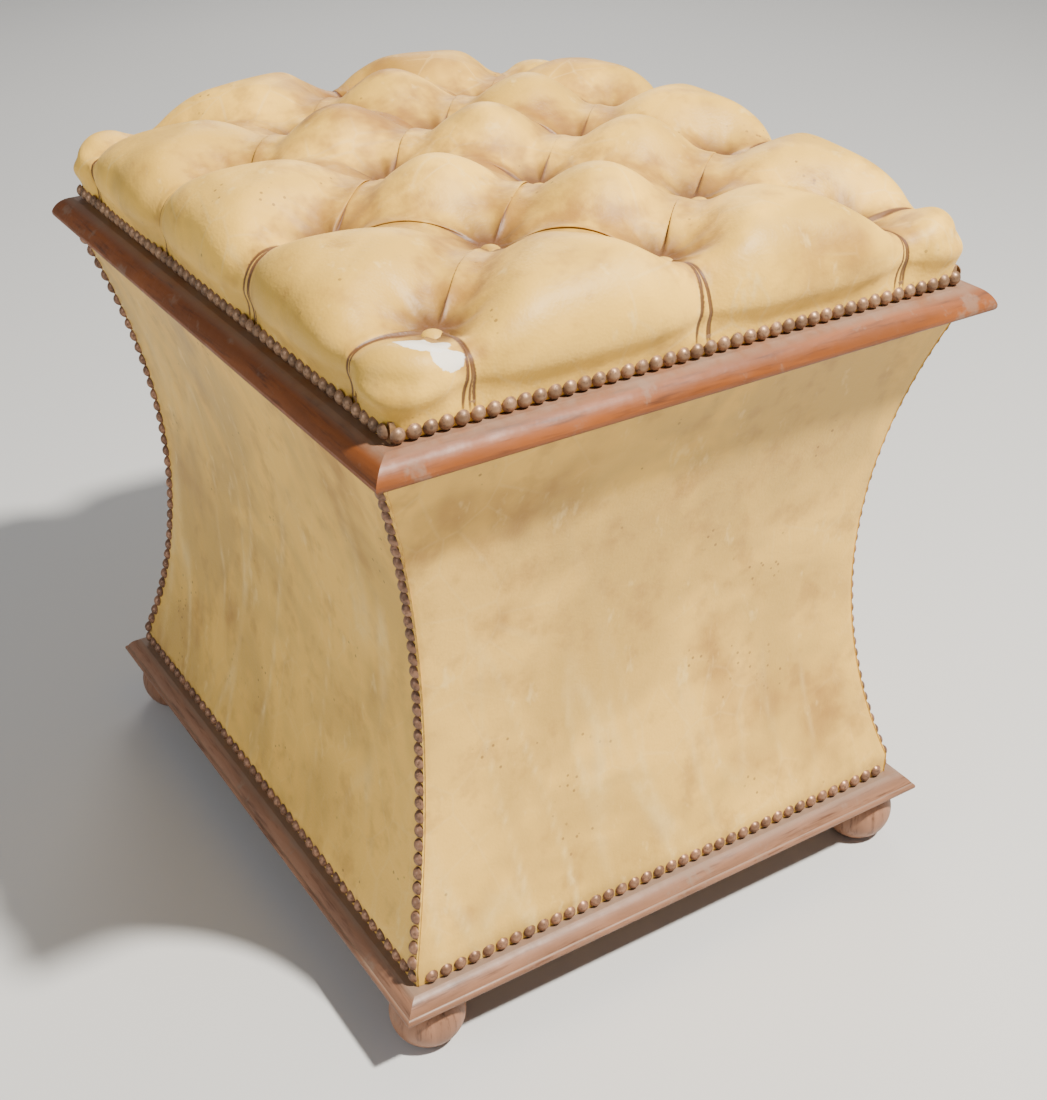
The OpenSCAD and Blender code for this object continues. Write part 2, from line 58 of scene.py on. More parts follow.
# Each side of the box: the axis it faces along (0 for X, 1 for Y), and which way it faces
SIDES = {"front": (1, -1), "back": (1, 1), "left": (0, -1), "right": (0, 1)}
ENDS, HANDS = ("front", "back"), ("left", "right")
# The corners of a rectangle, in order round it
QUARTERS = ((1, 1), (-1, 1), (-1, -1), (1, -1))


# ---- sizes and colours that a user would change ----


def length(name, description, default, low=0.0, high=1.0):
    return FloatProperty(
        name=name, description=description, default=default, min=low, max=high,
        subtype="DISTANCE", unit="LENGTH",
    )


def colour(name, description, default):
    return FloatVectorProperty(
        name=name, description=description, default=default, min=0.0, max=1.0, size=3, subtype="COLOR",
    )


def amount(name, description, default, high):
    return FloatProperty(name=name, description=description, default=default, min=0.0, max=high)


class OttomanCushion(bpy.types.PropertyGroup):
    hide: length("Hide", "Thickness of the cushion's leather", 0.002, 0.001, 0.004)
    button_r: length("Button radius", "Radius of a covered button", 0.007, 0.004, 0.01)
    button_sink: length("Button depth", "Depth of a button below the crown", 0.037, 0.02, 0.045)
    fold_sink: length("Fold depth", "Depth of a fold halfway between two buttons", 0.020, 0.01, 0.03)
    pillow_w: length("Pillow half width", "Distance from a fold to the crest of a pillow", 0.05, 0.03, 0.07)
    corner_r: length("Corner radius", "Radius of the cushion's corners in plan", 0.042, 0.03, 0.06)
    fall_x: length("Side fall", "How far the crown falls to the left and right edges", 0.024, 0.0, 0.05)
    fall_y: length("End fall", "How far the crown falls to the front and back edges", 0.02, 0.0, 0.05)
    lip: length("Fold lip", "How far one side of a fold laps over the other", 0.0009, 0.0, 0.006)
    mesh: length("Mesh size", "Distance between the points of the cushion's surface", 0.005, 0.003, 0.01)
    pressure: amount("Pressure", "Pressure of the stuffing on the leather", 9.0, 20.0)
    growth: amount("Fullness", "Share of spare leather in a pillow", 0.010, 0.2)
    swelling: length("Swelling", "Most that the stuffing may move the leather", 0.009, 0.0, 0.02)
    seed: IntProperty(name="Seed", description="Which random unevenness the hand work has", default=7)


class OttomanLeather(bpy.types.PropertyGroup):
    waist_z: length("Waist height", "Height of the waist above the floor", 0.242, 0.2, 0.28)
    backing: length("Backing", "Thickness of the side leather with its wadding", 0.003, 0.001, 0.006)
    wrinkle: length("Wrinkle height", "Height of the wrinkles in the side leather", 0.0007, 0.0, 0.0015)
    gold: colour("Gold", "Main colour of the cushion's leather", (0.86, 0.505, 0.070))
    straw: colour("Straw", "Main colour of the side leather", (0.77, 0.460, 0.085))
    # Brown: real stains and wear, and also the painted shade over the leather that turns down into the folds
    brown: colour("Brown wear and hollow shade", "Colour where the finish is worn and stained", (0.30, 0.125, 0.022))
    # Pale: real scuffs and scratches, and also the painted highlight along the side leather's wrinkle ridges
    pale: colour("Pale wear and ridge highlight", "Colour of light scuffs and scratches", (0.93, 0.67, 0.25))
    # Fold: painted shade colour for the creases and button wells, and also the colour of the dark specks
    fold: colour("Fold", "Colour down in the folds", (0.10, 0.035, 0.014))
    bare: colour("Bare hide", "Colour where the finish has peeled off", (0.90, 0.86, 0.76))


class OttomanWood(bpy.types.PropertyGroup):
    polish: colour("Polish", "Colour of the mouldings' polish", (0.185, 0.052, 0.010))
    dark: colour("Dark grain", "Colour of the mouldings' dark grain", (0.065, 0.020, 0.007))
    bloom: colour("Bloom", "Colour of the grey bloom on the flats", (0.24, 0.155, 0.105))
    pine: colour("Pine", "Colour of the well boards", (0.36, 0.21, 0.09))
    beech: colour("Beech", "Colour of the rails and posts", (0.27, 0.15, 0.065))


class OttomanMetal(bpy.types.PropertyGroup):
    lid_nail: colour("Lid nails", "Colour of the nails round the cushion", (0.27, 0.155, 0.085))
    box_nail: colour("Box nails", "Colour of the nails on the box", (0.27, 0.14, 0.08))
    tarnish: colour("Tarnish", "Colour of the tarnish between the nails", (0.07, 0.04, 0.028))
    hinge: colour("Hinges", "Colour of the hinge brass", (0.55, 0.38, 0.15))


class OttomanCloth(bpy.types.PropertyGroup):
    cotton: colour("Cotton", "Colour of the lining cotton", (0.27, 0.185, 0.105))
    jute: colour("Jute", "Colour of the webbing", (0.42, 0.31, 0.17))
    weave: length("Weave", "Distance between two threads of the lining", 0.0008, 0.0003, 0.002)
    lining: length("Lining", "Thickness of the lining cotton", 0.001, 0.0005, 0.002)


class OttomanStage(bpy.types.PropertyGroup):
    floor: colour("Floor", "Colour of the floor", (0.62, 0.62, 0.61))
    key: amount("Key light", "Power of the main light, in watts", 215.0, 1000.0)
    sky: amount("Sky", "Strength of the light from all round", 0.25, 2.0)
    lens: amount("Lens", "Focal length of the camera, in millimetres", 52.25, 200.0)


GROUPS = {
    "ottoman_cushion": OttomanCushion,
    "ottoman_leather": OttomanLeather,
    "ottoman_wood": OttomanWood,
    "ottoman_metal": OttomanMetal,
    "ottoman_cloth": OttomanCloth,
    "ottoman_stage": OttomanStage,
}


# Where the finish has peeled off the cushion: (centre, radius) in metres
BARE_SPOTS = (
    ((-0.168, -0.224, 0.500), 0.019), ((-0.162, -0.246, 0.494), 0.014),
    ((-0.151, 0.036, 0.519), 0.008),
)
# Where the cushion is rubbed brown: (centre, radius) in metres
WORN_SPOTS = (
    ((-0.050, 0.070, 0.530), 0.060), ((-0.022, -0.052, 0.532), 0.032), ((0.000, 0.150, 0.530), 0.045),
    ((0.070, 0.010, 0.530), 0.035), ((-0.120, 0.020, 0.525), 0.025),
)


# ---- shader helpers ----


class Paint:
    """A new material, and short ways to add the nodes that paint it."""

    def __init__(self, name):
        self.material = bpy.data.materials.new(name)
        self.material.use_nodes = True
        self.nodes = self.material.node_tree.nodes
        self.links = self.material.node_tree.links
        self.surface = self.nodes["Principled BSDF"]
        self.place = self.nodes.new("ShaderNodeTexCoord").outputs["Object"]

    def put(self, socket, value):
        if isinstance(value, bpy.types.NodeSocket):
            self.links.new(value, socket)
        elif socket.type == "RGBA":
            socket.default_value = (*value[:3], 1.0)
        else:
            socket.default_value = value

    def set_inputs(self, node, **values):
        for name, value in values.items():
            node.inputs[name.replace("_", " ")].default_value = value

    def math(self, operation, a, b=0.0, clamp=False):
        node = self.nodes.new("ShaderNodeMath")
        node.operation = operation
        node.use_clamp = clamp
        self.put(node.inputs[0], a)
        self.put(node.inputs[1], b)
        return node.outputs[0]

    def stretch(self, scale, turn=(0.0, 0.0, 0.0), shift=(0.0, 0.0, 0.0)):
        node = self.nodes.new("ShaderNodeMapping")
        self.put(node.inputs["Vector"], self.place)
        self.set_inputs(node, Location=shift, Rotation=turn, Scale=scale)
        return node.outputs[0]

    def noise(self, scale, detail=4.0, rough=0.55, place=None, warp=0.0):
        node = self.nodes.new("ShaderNodeTexNoise")
        self.put(node.inputs["Vector"], place or self.place)
        self.set_inputs(node, Scale=scale, Detail=detail, Roughness=rough, Distortion=warp)
        return node.outputs["Fac"]

    def cells(self, scale, feature="F1", place=None):
        node = self.nodes.new("ShaderNodeTexVoronoi")
        node.feature = feature
        self.put(node.inputs["Vector"], place or self.place)
        self.set_inputs(node, Scale=scale)
        return node.outputs["Distance"]

    def waves(self, scale, place=None, direction="X"):
        """Bands across one direction, slightly uneven."""
        node = self.nodes.new("ShaderNodeTexWave")
        node.bands_direction = direction
        self.put(node.inputs["Vector"], place or self.place)
        self.set_inputs(node, Scale=scale, Distortion=0.4)
        return node.outputs["Fac"]

    def band(self, value, low, high, to_low=0.0, to_high=1.0):
        """A soft step from to_low, at low and below, to to_high, at high and above."""
        node = self.nodes.new("ShaderNodeMapRange")
        node.interpolation_type = "SMOOTHSTEP"
        self.put(node.inputs["Value"], value)
        self.set_inputs(node, From_Min=low, From_Max=high, To_Min=to_low, To_Max=to_high)
        return node.outputs["Result"]

    def mix(self, share, a, b):
        node = self.nodes.new("ShaderNodeMix")
        node.data_type = "RGBA"
        self.put(node.inputs["Factor"], share)
        self.put([s for s in node.inputs if s.name == "A" and s.type == "RGBA"][0], a)
        self.put([s for s in node.inputs if s.name == "B" and s.type == "RGBA"][0], b)
        return [s for s in node.outputs if s.type == "RGBA"][0]

    def attribute(self, name):
        node = self.nodes.new("ShaderNodeAttribute")
        node.attribute_name = name
        return node.outputs["Fac"]

    def upward(self):
        """How far the surface faces up: 1 on a level top, 0 on an upright side."""
        normal = self.nodes.new("ShaderNodeTexCoord").outputs["Normal"]
        split = self.nodes.new("ShaderNodeSeparateXYZ")
        self.put(split.inputs[0], normal)
        return split.outputs["Z"]

    def spot(self, centre, radius, soft):
        """1 inside a sphere and 0 outside it, with a soft edge."""
        node = self.nodes.new("ShaderNodeVectorMath")
        node.operation = "DISTANCE"
        self.put(node.inputs[0], self.place)
        node.inputs[1].default_value = centre
        return self.band(node.outputs["Value"], radius - soft, radius + soft, 1.0, 0.0)

    def relief(self, *layers):
        """One bump from several (height texture, depth in metres) layers."""
        millimetre = 0.001
        total = None
        for value, depth in layers:
            layer = self.math("MULTIPLY", value, depth / millimetre)
            total = layer if total is None else self.math("ADD", total, layer)
        node = self.nodes.new("ShaderNodeBump")
        self.set_inputs(node, Strength=1.0, Distance=millimetre)
        self.put(node.inputs["Height"], total)
        return node.outputs["Normal"]

    def finish(self, base, rough, normal, metallic=0.0, specular=0.5, sheen=0.0, coat=0.0):
        self.put(self.surface.inputs["Base Color"], base)
        self.put(self.surface.inputs["Roughness"], rough)
        self.put(self.surface.inputs["Normal"], normal)
        self.set_inputs(self.surface, Metallic=metallic, Specular_IOR_Level=specular)
        self.set_inputs(self.surface, Sheen_Weight=sheen, Coat_Weight=coat, Coat_Roughness=0.3)
        return self.material


def shade(value, factor):
    return tuple(min(1.0, c * factor) for c in value)


def leather_material(name, main, hide, folds=False, spots=False, stains=0.35):
    """Old waxed hide: fine grain, cloudy stains, scuffs and scratches, painted shade in the folds and button
    wells, and painted highlights on the side wrinkles' ridges.
    """
    paint = Paint(name)
    # Cloudy colour, stained and worn brown
    clouds = paint.noise(9.0, 3.0, 0.62, warp=0.5)
    mottle = paint.noise(34.0, 3.0, 0.65)
    base = paint.mix(paint.band(clouds, 0.36, 0.66), shade(main, 0.80), shade(main, 1.14))
    base = paint.mix(paint.band(mottle, 0.48, 0.72, 0.0, stains), base, hide.brown)
    wear = paint.noise(5.2, 4.0, 0.66, place=paint.stretch((1.0, 1.3, 1.0), shift=(0.3, 0.1, 0.7)))
    base = paint.mix(paint.band(wear, 0.54, 0.70, 0.0, 0.6), base, hide.brown)
    # Pale scuffs and crackled lines
    rub = paint.noise(60.0, 3.0, 0.7, place=paint.stretch((1.0, 1.0, 0.5), shift=(1.0, 2.0, 0.4)))
    base = paint.mix(paint.band(rub, 0.6, 0.74, 0.0, 0.4), base, hide.pale)
    tilted = paint.stretch((1.0, 1.3, 0.8), turn=(0.35, 0.5, 0.2))
    crackle = paint.cells(26.0, "DISTANCE_TO_EDGE", place=tilted)
    thin = paint.band(crackle, 0.0, 0.035, 1.0, 0.0)
    lines = paint.math("MULTIPLY", thin, paint.band(clouds, 0.45, 0.62))
    base = paint.mix(paint.math("MULTIPLY", lines, 0.3 if folds else 0.14), base, hide.pale)
    # A few dark specks
    specks = paint.cells(150.0)
    rare = paint.band(paint.noise(21.0, 2.0, 0.5), 0.6, 0.66)
    dots = paint.math("MULTIPLY", paint.band(specks, 0.12, 0.2, 1.0, 0.0), rare)
    base = paint.mix(paint.math("MULTIPLY", dots, 0.55), base, hide.fold)
    if folds:
        # Painted shade: leather that turns down into a fold darkens towards brown, and the crease lines and
        # button wells darken to the fold colour
        uneven = paint.band(mottle, 0.25, 0.75, 0.55, 1.25)
        ragged_hollow_shade = paint.math("MULTIPLY", paint.attribute("hollow"), uneven)
        base = paint.mix(paint.band(ragged_hollow_shade, 0.45, 1.1, 0.0, 0.6), base, hide.brown)
        base = paint.mix(paint.band(paint.attribute("fold"), 0.15, 0.7, 0.0, 0.92), base, hide.fold)
    else:
        # Painted highlight: pale lines along the wrinkle ridges, where the ridges would catch the light
        wear_and_ridge_highlight = paint.math("MULTIPLY", paint.attribute("ridge"), paint.band(mottle, 0.35, 0.6, 0.2, 0.8))
        base = paint.mix(wear_and_ridge_highlight, base, hide.pale)
    if spots:
        smear = paint.noise(26.0, 3.0, 0.7, place=paint.stretch((0.6, 1.4, 1.0)))
        ragged_edge = paint.noise(70.0, 3.0, 0.75)
        for centre, radius in WORN_SPOTS:
            wear_and_ridge_highlight = paint.math("ADD", paint.spot(centre, radius, radius * 0.6), smear)
            base = paint.mix(paint.band(wear_and_ridge_highlight, 1.1, 1.6, 0.0, 0.85), base, hide.brown)
        for centre, radius in BARE_SPOTS:
            peeled = paint.math("ADD", paint.spot(centre, radius, radius * 0.35), ragged_edge)
            base = paint.mix(paint.band(peeled, 1.05, 1.16, 0.0, 0.85), base, hide.bare)
    grain = paint.cells(520.0)
    creases = paint.noise(130.0, 3.0, 0.6)
    normal = paint.relief((grain, 0.00009), (creases, 0.00034), (clouds, 0.0006))
    rough = paint.band(clouds, 0.3, 0.7, 0.46, 0.62)
    return paint.finish(base, rough, normal, specular=0.34, sheen=0.05, coat=0.02)


def wood_material(name, polish, dark, bloom, along, wear=0.6):
    """Grain that runs along X (0), Y (1) or Z (2), under old uneven polish."""
    paint = Paint(name)
    drawn_out = paint.stretch(tuple(1.0 if i == along else 9.0 for i in range(3)))
    figure = paint.noise(9.0, 3.0, 0.6, place=drawn_out, warp=0.8)
    fine_lines = paint.stretch(tuple(0.25 if i == along else 3.0 for i in range(3)))
    pores = paint.noise(75.0, 3.0, 0.7, place=fine_lines)
    base = paint.mix(paint.band(figure, 0.35, 0.68), polish, shade(polish, 1.35))
    base = paint.mix(paint.band(pores, 0.5, 0.75, 0.0, 0.75), base, dark)
    chips = paint.noise(38.0, 4.0, 0.7)
    base = paint.mix(paint.band(chips, 0.56, 0.7, 0.0, wear), base, bloom)
    facing_up = paint.band(paint.upward(), 0.75, 0.98)
    dust = paint.math("MULTIPLY", facing_up, paint.band(chips, 0.3, 0.6, 0.5, 1.0))
    base = paint.mix(paint.math("MULTIPLY", dust, wear * 1.4, clamp=True), base, bloom)
    normal = paint.relief((pores, 0.00012), (chips, 0.00035))
    rough = paint.band(chips, 0.35, 0.7, 0.42, 0.65)
    return paint.finish(base, rough, normal, specular=0.28, coat=0.08)


def nail_material(name, head, tarnish):
    """Old bronzed nail heads, each a little different, pitted and tarnished."""
    paint = Paint(name)
    each = paint.noise(70.0, 1.0, 0.4)
    pits = paint.noise(420.0, 2.0, 0.6)
    base = paint.mix(paint.band(each, 0.35, 0.65), shade(head, 0.75), shade(head, 1.3))
    base = paint.mix(paint.band(pits, 0.5, 0.7, 0.0, 0.65), base, tarnish)
    normal = paint.relief((pits, 0.0001))
    rough = paint.band(pits, 0.35, 0.7, 0.34, 0.6)
    return paint.finish(base, rough, normal, metallic=0.45)


def brass_material(name, brass):
    """Old brushed brass with darker spots."""
    paint = Paint(name)
    brushed = paint.noise(240.0, 4.0, 0.6, place=paint.stretch((0.08, 1.0, 1.0)))
    spots = paint.noise(120.0, 4.0, 0.6)
    base = paint.mix(paint.band(spots, 0.45, 0.72, 0.0, 0.7), brass, shade(brass, 0.35))
    normal = paint.relief((brushed, 0.00005))
    return paint.finish(base, paint.band(spots, 0.3, 0.7, 0.24, 0.5), normal, metallic=0.95)


def cloth_material(name, thread, pitch, upright=False, fuzz=0.25):
    """Plain weave: two sets of threads that cross, with slubs and a little soiling.

    The threads run along X and Y, or up and along on cloth that hangs upright.
    """
    paint = Paint(name)
    tight = 2.0 * math.pi / (20.0 * pitch)
    if upright:
        quarter = paint.stretch((1.0, 1.0, 1.0), turn=(0.0, 0.0, math.radians(45)))
        weft = paint.waves(tight * math.sqrt(2.0), place=quarter, direction="X")
    else:
        weft = paint.waves(tight, direction="X")
    warp = paint.waves(tight, direction="Z" if upright else "Y")
    weave = paint.math("MAXIMUM", weft, warp)
    slubs = paint.noise(180.0, 4.0, 0.6, place=paint.stretch((1.0, 0.15, 1.0)))
    soil = paint.noise(7.0, 5.0, 0.6, warp=0.5)
    base = paint.mix(weave, shade(thread, 0.72), shade(thread, 1.12))
    base = paint.mix(paint.band(slubs, 0.5, 0.75, 0.0, 0.35), base, shade(thread, 1.35))
    base = paint.mix(paint.band(soil, 0.5, 0.75, 0.0, 0.45), base, shade(thread, 0.55))
    normal = paint.relief((weave, 0.00015), (slubs, 0.00012))
    return paint.finish(base, 0.88, normal, specular=0.2, sheen=fuzz)


def paint_nodes(names, material):
    for name in names:
        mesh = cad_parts[name].data
        mesh.materials.clear()
        mesh.materials.append(material)
        for face in mesh.polygons:
            face.material_index = 0


# ---- mesh helpers ----


def new_object(name, points, faces, material, smooth=True):
    mesh = bpy.data.meshes.new(name)
    mesh.from_pydata([tuple(p) for p in points], [], [tuple(f) for f in faces])
    mesh.validate()
    mesh.materials.append(material)
    mesh.polygons.foreach_set("use_smooth", [smooth] * len(mesh.polygons))
    mesh.update()
    piece = bpy.data.objects.new(name, mesh)
    bpy.context.scene.collection.objects.link(piece)
    return piece


def store(piece, name, values):
    layer = piece.data.attributes.new(name, "FLOAT", "POINT")
    layer.data.foreach_set("value", np.asarray(values, dtype=np.float32))


def islands(node):
    """The middle of each separate solid in a frame node, in metres."""
    grid = bmesh.new()
    grid.from_mesh(node.data)
    grid.transform(node.matrix_world)
    left = set(grid.verts)
    middles = []
    while left:
        queue = [left.pop()]
        group = []
        while queue:
            vert = queue.pop()
            group.append(vert.co.copy())
            for edge in vert.link_edges:
                other = edge.other_vert(vert)
                if other in left:
                    left.remove(other)
                    queue.append(other)
        low = Vector([min(c[i] for c in group) for i in range(3)])
        high = Vector([max(c[i] for c in group) for i in range(3)])
        middles.append((low + high) / 2)
    grid.free()
    return sorted(middles, key=lambda middle: (round(middle.y, 3), round(middle.x, 3)))


def ripple(points, scale, seed):
    """Smooth noise from -1 to 1 at each point."""
    shift = Vector((seed * 3.7, seed * 1.9, seed * 5.3))
    return np.array([noise.noise(Vector(p) * scale + shift) for p in points])


def bezier(t, a, b, c, d):
    return a * (1 - t) ** 3 + 3 * b * t * (1 - t) ** 2 + 3 * c * t * t * (1 - t) + d * t**3


def spaced(low, high, step, extra=()):
    """Even steps from low to high, with extra stops of their own."""
    count = max(2, int((high - low) / step))
    return sorted(set([low + (high - low) * i / count for i in range(count + 1)]) | set(extra))


def rounded_ring(core, arc_steps, pitch):
    """Stops round a rounded rectangle: each one's place on the square core, and its way out."""
    ring = []
    for quarter, (sx, sy) in enumerate(QUARTERS):
        corner = np.array([sx * core[0], sy * core[1]])
        for i in range(arc_steps + 1):
            angle = math.pi / 2 * (quarter + i / arc_steps)
            way = np.array([math.cos(angle), math.sin(angle)])
            ring.append((corner, way))
        next_x, next_y = QUARTERS[(quarter + 1) % len(QUARTERS)]
        end = np.array([next_x * core[0], next_y * core[1]])
        count = int(np.linalg.norm(end - corner) / pitch)
        ring += [(corner + (end - corner) * i / count, way) for i in range(1, count)]
    return ring


def square_up(piece):
    """Makes every face look outwards."""
    mesh = bmesh.new()
    mesh.from_mesh(piece.data)
    bmesh.ops.recalc_face_normals(mesh, faces=mesh.faces)
    mesh.to_mesh(piece.data)
    mesh.free()
    piece.data.set_sharp_from_angle(angle=math.radians(50))
    piece.data.update()


def slab(name, front, back, count_a, count_b, material, closed=False):
    """A closed thin mesh between two grids of points, count_b rows of count_a points each."""
    total = len(front)
    faces = []
    span = count_a if closed else count_a - 1
    for i in range(count_b - 1):
        for j in range(span):
            a, b = i * count_a + j, i * count_a + (j + 1) % count_a
            c, d = b + count_a, a + count_a
            faces.append((a, b, c, d))
            faces.append((a + total, d + total, c + total, b + total))
    for j in range(span):
        for i in (0, count_b - 1):
            a, b = i * count_a + j, i * count_a + (j + 1) % count_a
            faces.append((a, b, b + total, a + total))
    if not closed:
        for i in range(count_b - 1):
            for j in (0, count_a - 1):
                a, d = i * count_a + j, (i + 1) * count_a + j
                faces.append((a, d, d + total, a + total))
    piece = new_object(name, np.vstack([front, back]), faces, material)
    square_up(piece)
    return piece


# ---- cushion ----


class CushionForm:
    """The untufted cushion, laid flat: the crown inside a rounded rectangle, and outside it the
    shoulder and the side down to the nail line."""

    SHOULDER = 0.056  # leather from the crown's rim to the widest level
    SKIRT = 0.034  # leather from the widest level to the nails
    INSET = 0.030  # from the nail line in to the crown's rim
    SWELL = 0.009  # how far the side stands out over the nail line
    CORNER_EASE = 0.005
    SIDE_Z = 0.480  # height of the widest level
    PINCH_Z = (0.468, 0.466)
    RIM_DROP = 0.003
    BITE = 0.0008  # how deep the nails press the leather in
    PROBE = 0.0006

    def __init__(self, settings, frame_low, frame_high, ledge, crown):
        self.settings = settings
        self.centre = np.array([(frame_low.x + frame_high.x) / 2, (frame_low.y + frame_high.y) / 2])
        half = np.array([(frame_high.x - frame_low.x) / 2, (frame_high.y - frame_low.y) / 2])
        self.nail_half = half + settings.hide
        self.inner = self.nail_half - self.INSET
        self.corner = settings.corner_r - self.INSET - self.SWELL + self.CORNER_EASE
        self.core = self.inner - self.corner
        self.ledge = ledge
        self.crown = crown
        self.width = self.SHOULDER + self.SKIRT
        self.outer = self.inner + self.width
        self.outer_corner = self.corner + self.width

    def from_core(self, flat):
        """How far each point of the layout lies outside the square core."""
        return np.linalg.norm(np.maximum(np.abs(flat) - self.core, 0.0), axis=-1)

    def holds(self, point, margin=0.0):
        return self.from_core(np.asarray(point)) < self.outer_corner - margin

    def crown_z(self, x, y):
        side_fall = self.settings.fall_x * (x / self.nail_half[0]) ** 2
        end_fall = self.settings.fall_y * (y / self.nail_half[1]) ** 2
        return self.crown - side_fall - end_fall

    def place(self, flat):
        """Points of the made-up cushion, about its middle, and how far down its side each one is."""
        x, y = flat[:, 0], flat[:, 1]
        nearest = np.clip(flat, -self.core, self.core)
        offset = flat - nearest
        distance = np.linalg.norm(offset, axis=1)
        way = offset / np.maximum(distance, 1e-9)[:, None]
        out = distance - self.corner
        rim = nearest + way * self.corner
        inside = out <= 0.0
        rim_z = self.crown_z(rim[:, 0], rim[:, 1])
        t = np.clip(out / self.SHOULDER, 0.0, 1.0)
        u = np.clip((out - self.SHOULDER) / self.SKIRT, 0.0, 1.0)
        reach = self.INSET + self.SWELL
        side = bezier(t, 0.0, 0.6 * reach, reach, reach)
        z = bezier(t, rim_z, rim_z - self.RIM_DROP, 0.45 * self.SIDE_Z + 0.55 * rim_z, self.SIDE_Z)
        foot = self.INSET - self.BITE
        skirt = bezier(u, reach, reach, foot, foot)
        low = bezier(u, self.SIDE_Z, self.PINCH_Z[1], self.PINCH_Z[0], self.ledge)
        side = np.where(u > 0, skirt, side)
        z = np.where(u > 0, low, z)
        # The foot is nearly square in plan, and the shoulder round
        square = 2.0 + 6.0 * u
        lean = np.abs(way) + 1e-9
        corner_fit = (lean[:, 0] ** square + lean[:, 1] ** square) ** (-1.0 / square)
        ring = nearest + way * ((self.corner + side) * corner_fit)[:, None]
        plan = np.where(inside[:, None], flat, ring)
        z = np.where(inside, self.crown_z(x, y), z)
        return np.column_stack([plan, z]), np.where(inside, 0.0, out / self.width)

    def normals(self, flat):
        step = self.PROBE
        ahead_x = self.place(flat + [step, 0.0])[0] - self.place(flat - [step, 0.0])[0]
        ahead_y = self.place(flat + [0.0, step])[0] - self.place(flat - [0.0, step])[0]
        normal = np.cross(ahead_x, ahead_y)
        return normal / np.maximum(np.linalg.norm(normal, axis=1), 1e-12)[:, None]


class Fold:
    """A fold in the cover between two points of the flat layout."""

    def __init__(self, start, end, lean, border):
        self.start, self.end = np.array(start), np.array(end)
        self.length = float(np.linalg.norm(self.end - self.start))
        self.along = (self.end - self.start) / self.length
        self.across = np.array([-self.along[1], self.along[0]])
        self.lean = lean
        self.border = border

    def measure(self, flat):
        """Share of the way along, signed distance across, and distance, for each point."""
        offset = flat - self.start
        share = np.clip(offset @ self.along / self.length, 0.0, 1.0)
        foot = self.start + share[:, None] * self.along * self.length
        away = flat - foot
        distance = np.linalg.norm(away, axis=1)
        return share, np.where(away @ self.across >= 0, distance, -distance), distance


STRAY = 0.006  # how far a side fold may stray along the nail line
CREASE_STEP = 0.0032  # between points along a fold
CREASE_ROWS = (0.0015, 0.0033, 0.0060)  # rows of points beside a fold
BUTTON_RINGS = ((0.003, 8), (0.006, 14), (0.009, 20))  # rings of points round a button
RIM_ARC = 31  # steps round a corner of the layout


def fold_pattern(buttons, form, hand):
    """Folds from button to diagonal button, and from the outer buttons straight to the nail line."""
    folds = []
    same_row = 0.01
    rows = sorted({round(b[1], 3) for b in buttons})
    by_row = [[b for b in buttons if abs(b[1] - y) < same_row] for y in rows]
    half_step = min(abs(a[0] - b[0]) for a in by_row[0] for b in by_row[1])
    for lower, upper in zip(by_row, by_row[1:]):
        for a in lower:
            for b in upper:
                if abs(a[0] - b[0]) < half_step * 1.4:
                    folds.append(Fold(a, b, hand.choice([-1.0, 1.0]), False))
    widest = max(abs(b[0]) for b in buttons)
    for b in buttons:
        for axis, limit in ((0, widest - same_row), (1, max(rows) - same_row)):
            if abs(b[axis]) >= limit:
                end = [b[0], b[1]]
                end[axis] = math.copysign(form.outer[axis], b[axis])
                end[1 - axis] += hand.uniform(-STRAY, STRAY)
                folds.append(Fold(b, end, hand.choice([-1.0, 1.0]), True))
    return folds


def flat_mesh(form, folds, buttons, pitch):
    """Points and triangles of the flat layout, fine along the folds and round the buttons."""
    button_clear = BUTTON_RINGS[-1][0]
    points = [tuple(at + way * form.outer_corner) for at, way in rounded_ring(form.core, RIM_ARC, pitch)]
    edges = [(i, (i + 1) % len(points)) for i in range(len(points))]
    beside = []
    for fold in folds:
        count = max(2, int(fold.length / CREASE_STEP))
        previous = None
        for i in range(count + 1):
            on_line = fold.start + fold.along * fold.length * (i / count)
            if fold.border and not form.holds(on_line, 0.002):
                break
            points.append(tuple(on_line))
            if previous is not None:
                edges.append((previous, len(points) - 1))
            previous = len(points) - 1
            for offset in CREASE_ROWS:
                for side in (-1, 1):
                    spot = on_line + fold.across * side * offset
                    near = min(math.hypot(*(spot - b)) for b in buttons)
                    if near > button_clear and form.holds(spot, 0.003):
                        beside.append(tuple(spot))
    for b in buttons:
        for radius, count in BUTTON_RINGS:
            for i in range(count):
                angle = 2 * math.pi * i / count
                beside.append((b[0] + radius * math.cos(angle), b[1] + radius * math.sin(angle)))
    points += beside
    # Between the folds, rows of near-equal triangles
    row_step = 0.866 * pitch
    fill = []
    for row in range(int(2 * form.outer[1] / row_step) + 1):
        for column in range(int(2 * form.outer[0] / pitch) + 1):
            x = -form.outer[0] + (column + 0.5 * (row % 2)) * pitch
            y = -form.outer[1] + row * row_step
            if form.holds((x, y), 0.6 * pitch):
                fill.append((x, y))
    fill = np.array(fill)
    to_fold = np.min([fold.measure(fill)[2] for fold in folds], axis=0)
    to_button = np.min([np.hypot(fill[:, 0] - b[0], fill[:, 1] - b[1]) for b in buttons], axis=0)
    fill = fill[(to_fold > CREASE_ROWS[-1] + 0.5 * pitch) & (to_button > button_clear + 0.5 * pitch)]
    points += [tuple(p) for p in fill]
    verts, _, faces, *_ = delaunay_2d_cdt([Vector(p) for p in points], edges, [], 1, 1e-5, False)
    return np.array([tuple(v) for v in verts]), [tuple(f) for f in faces]


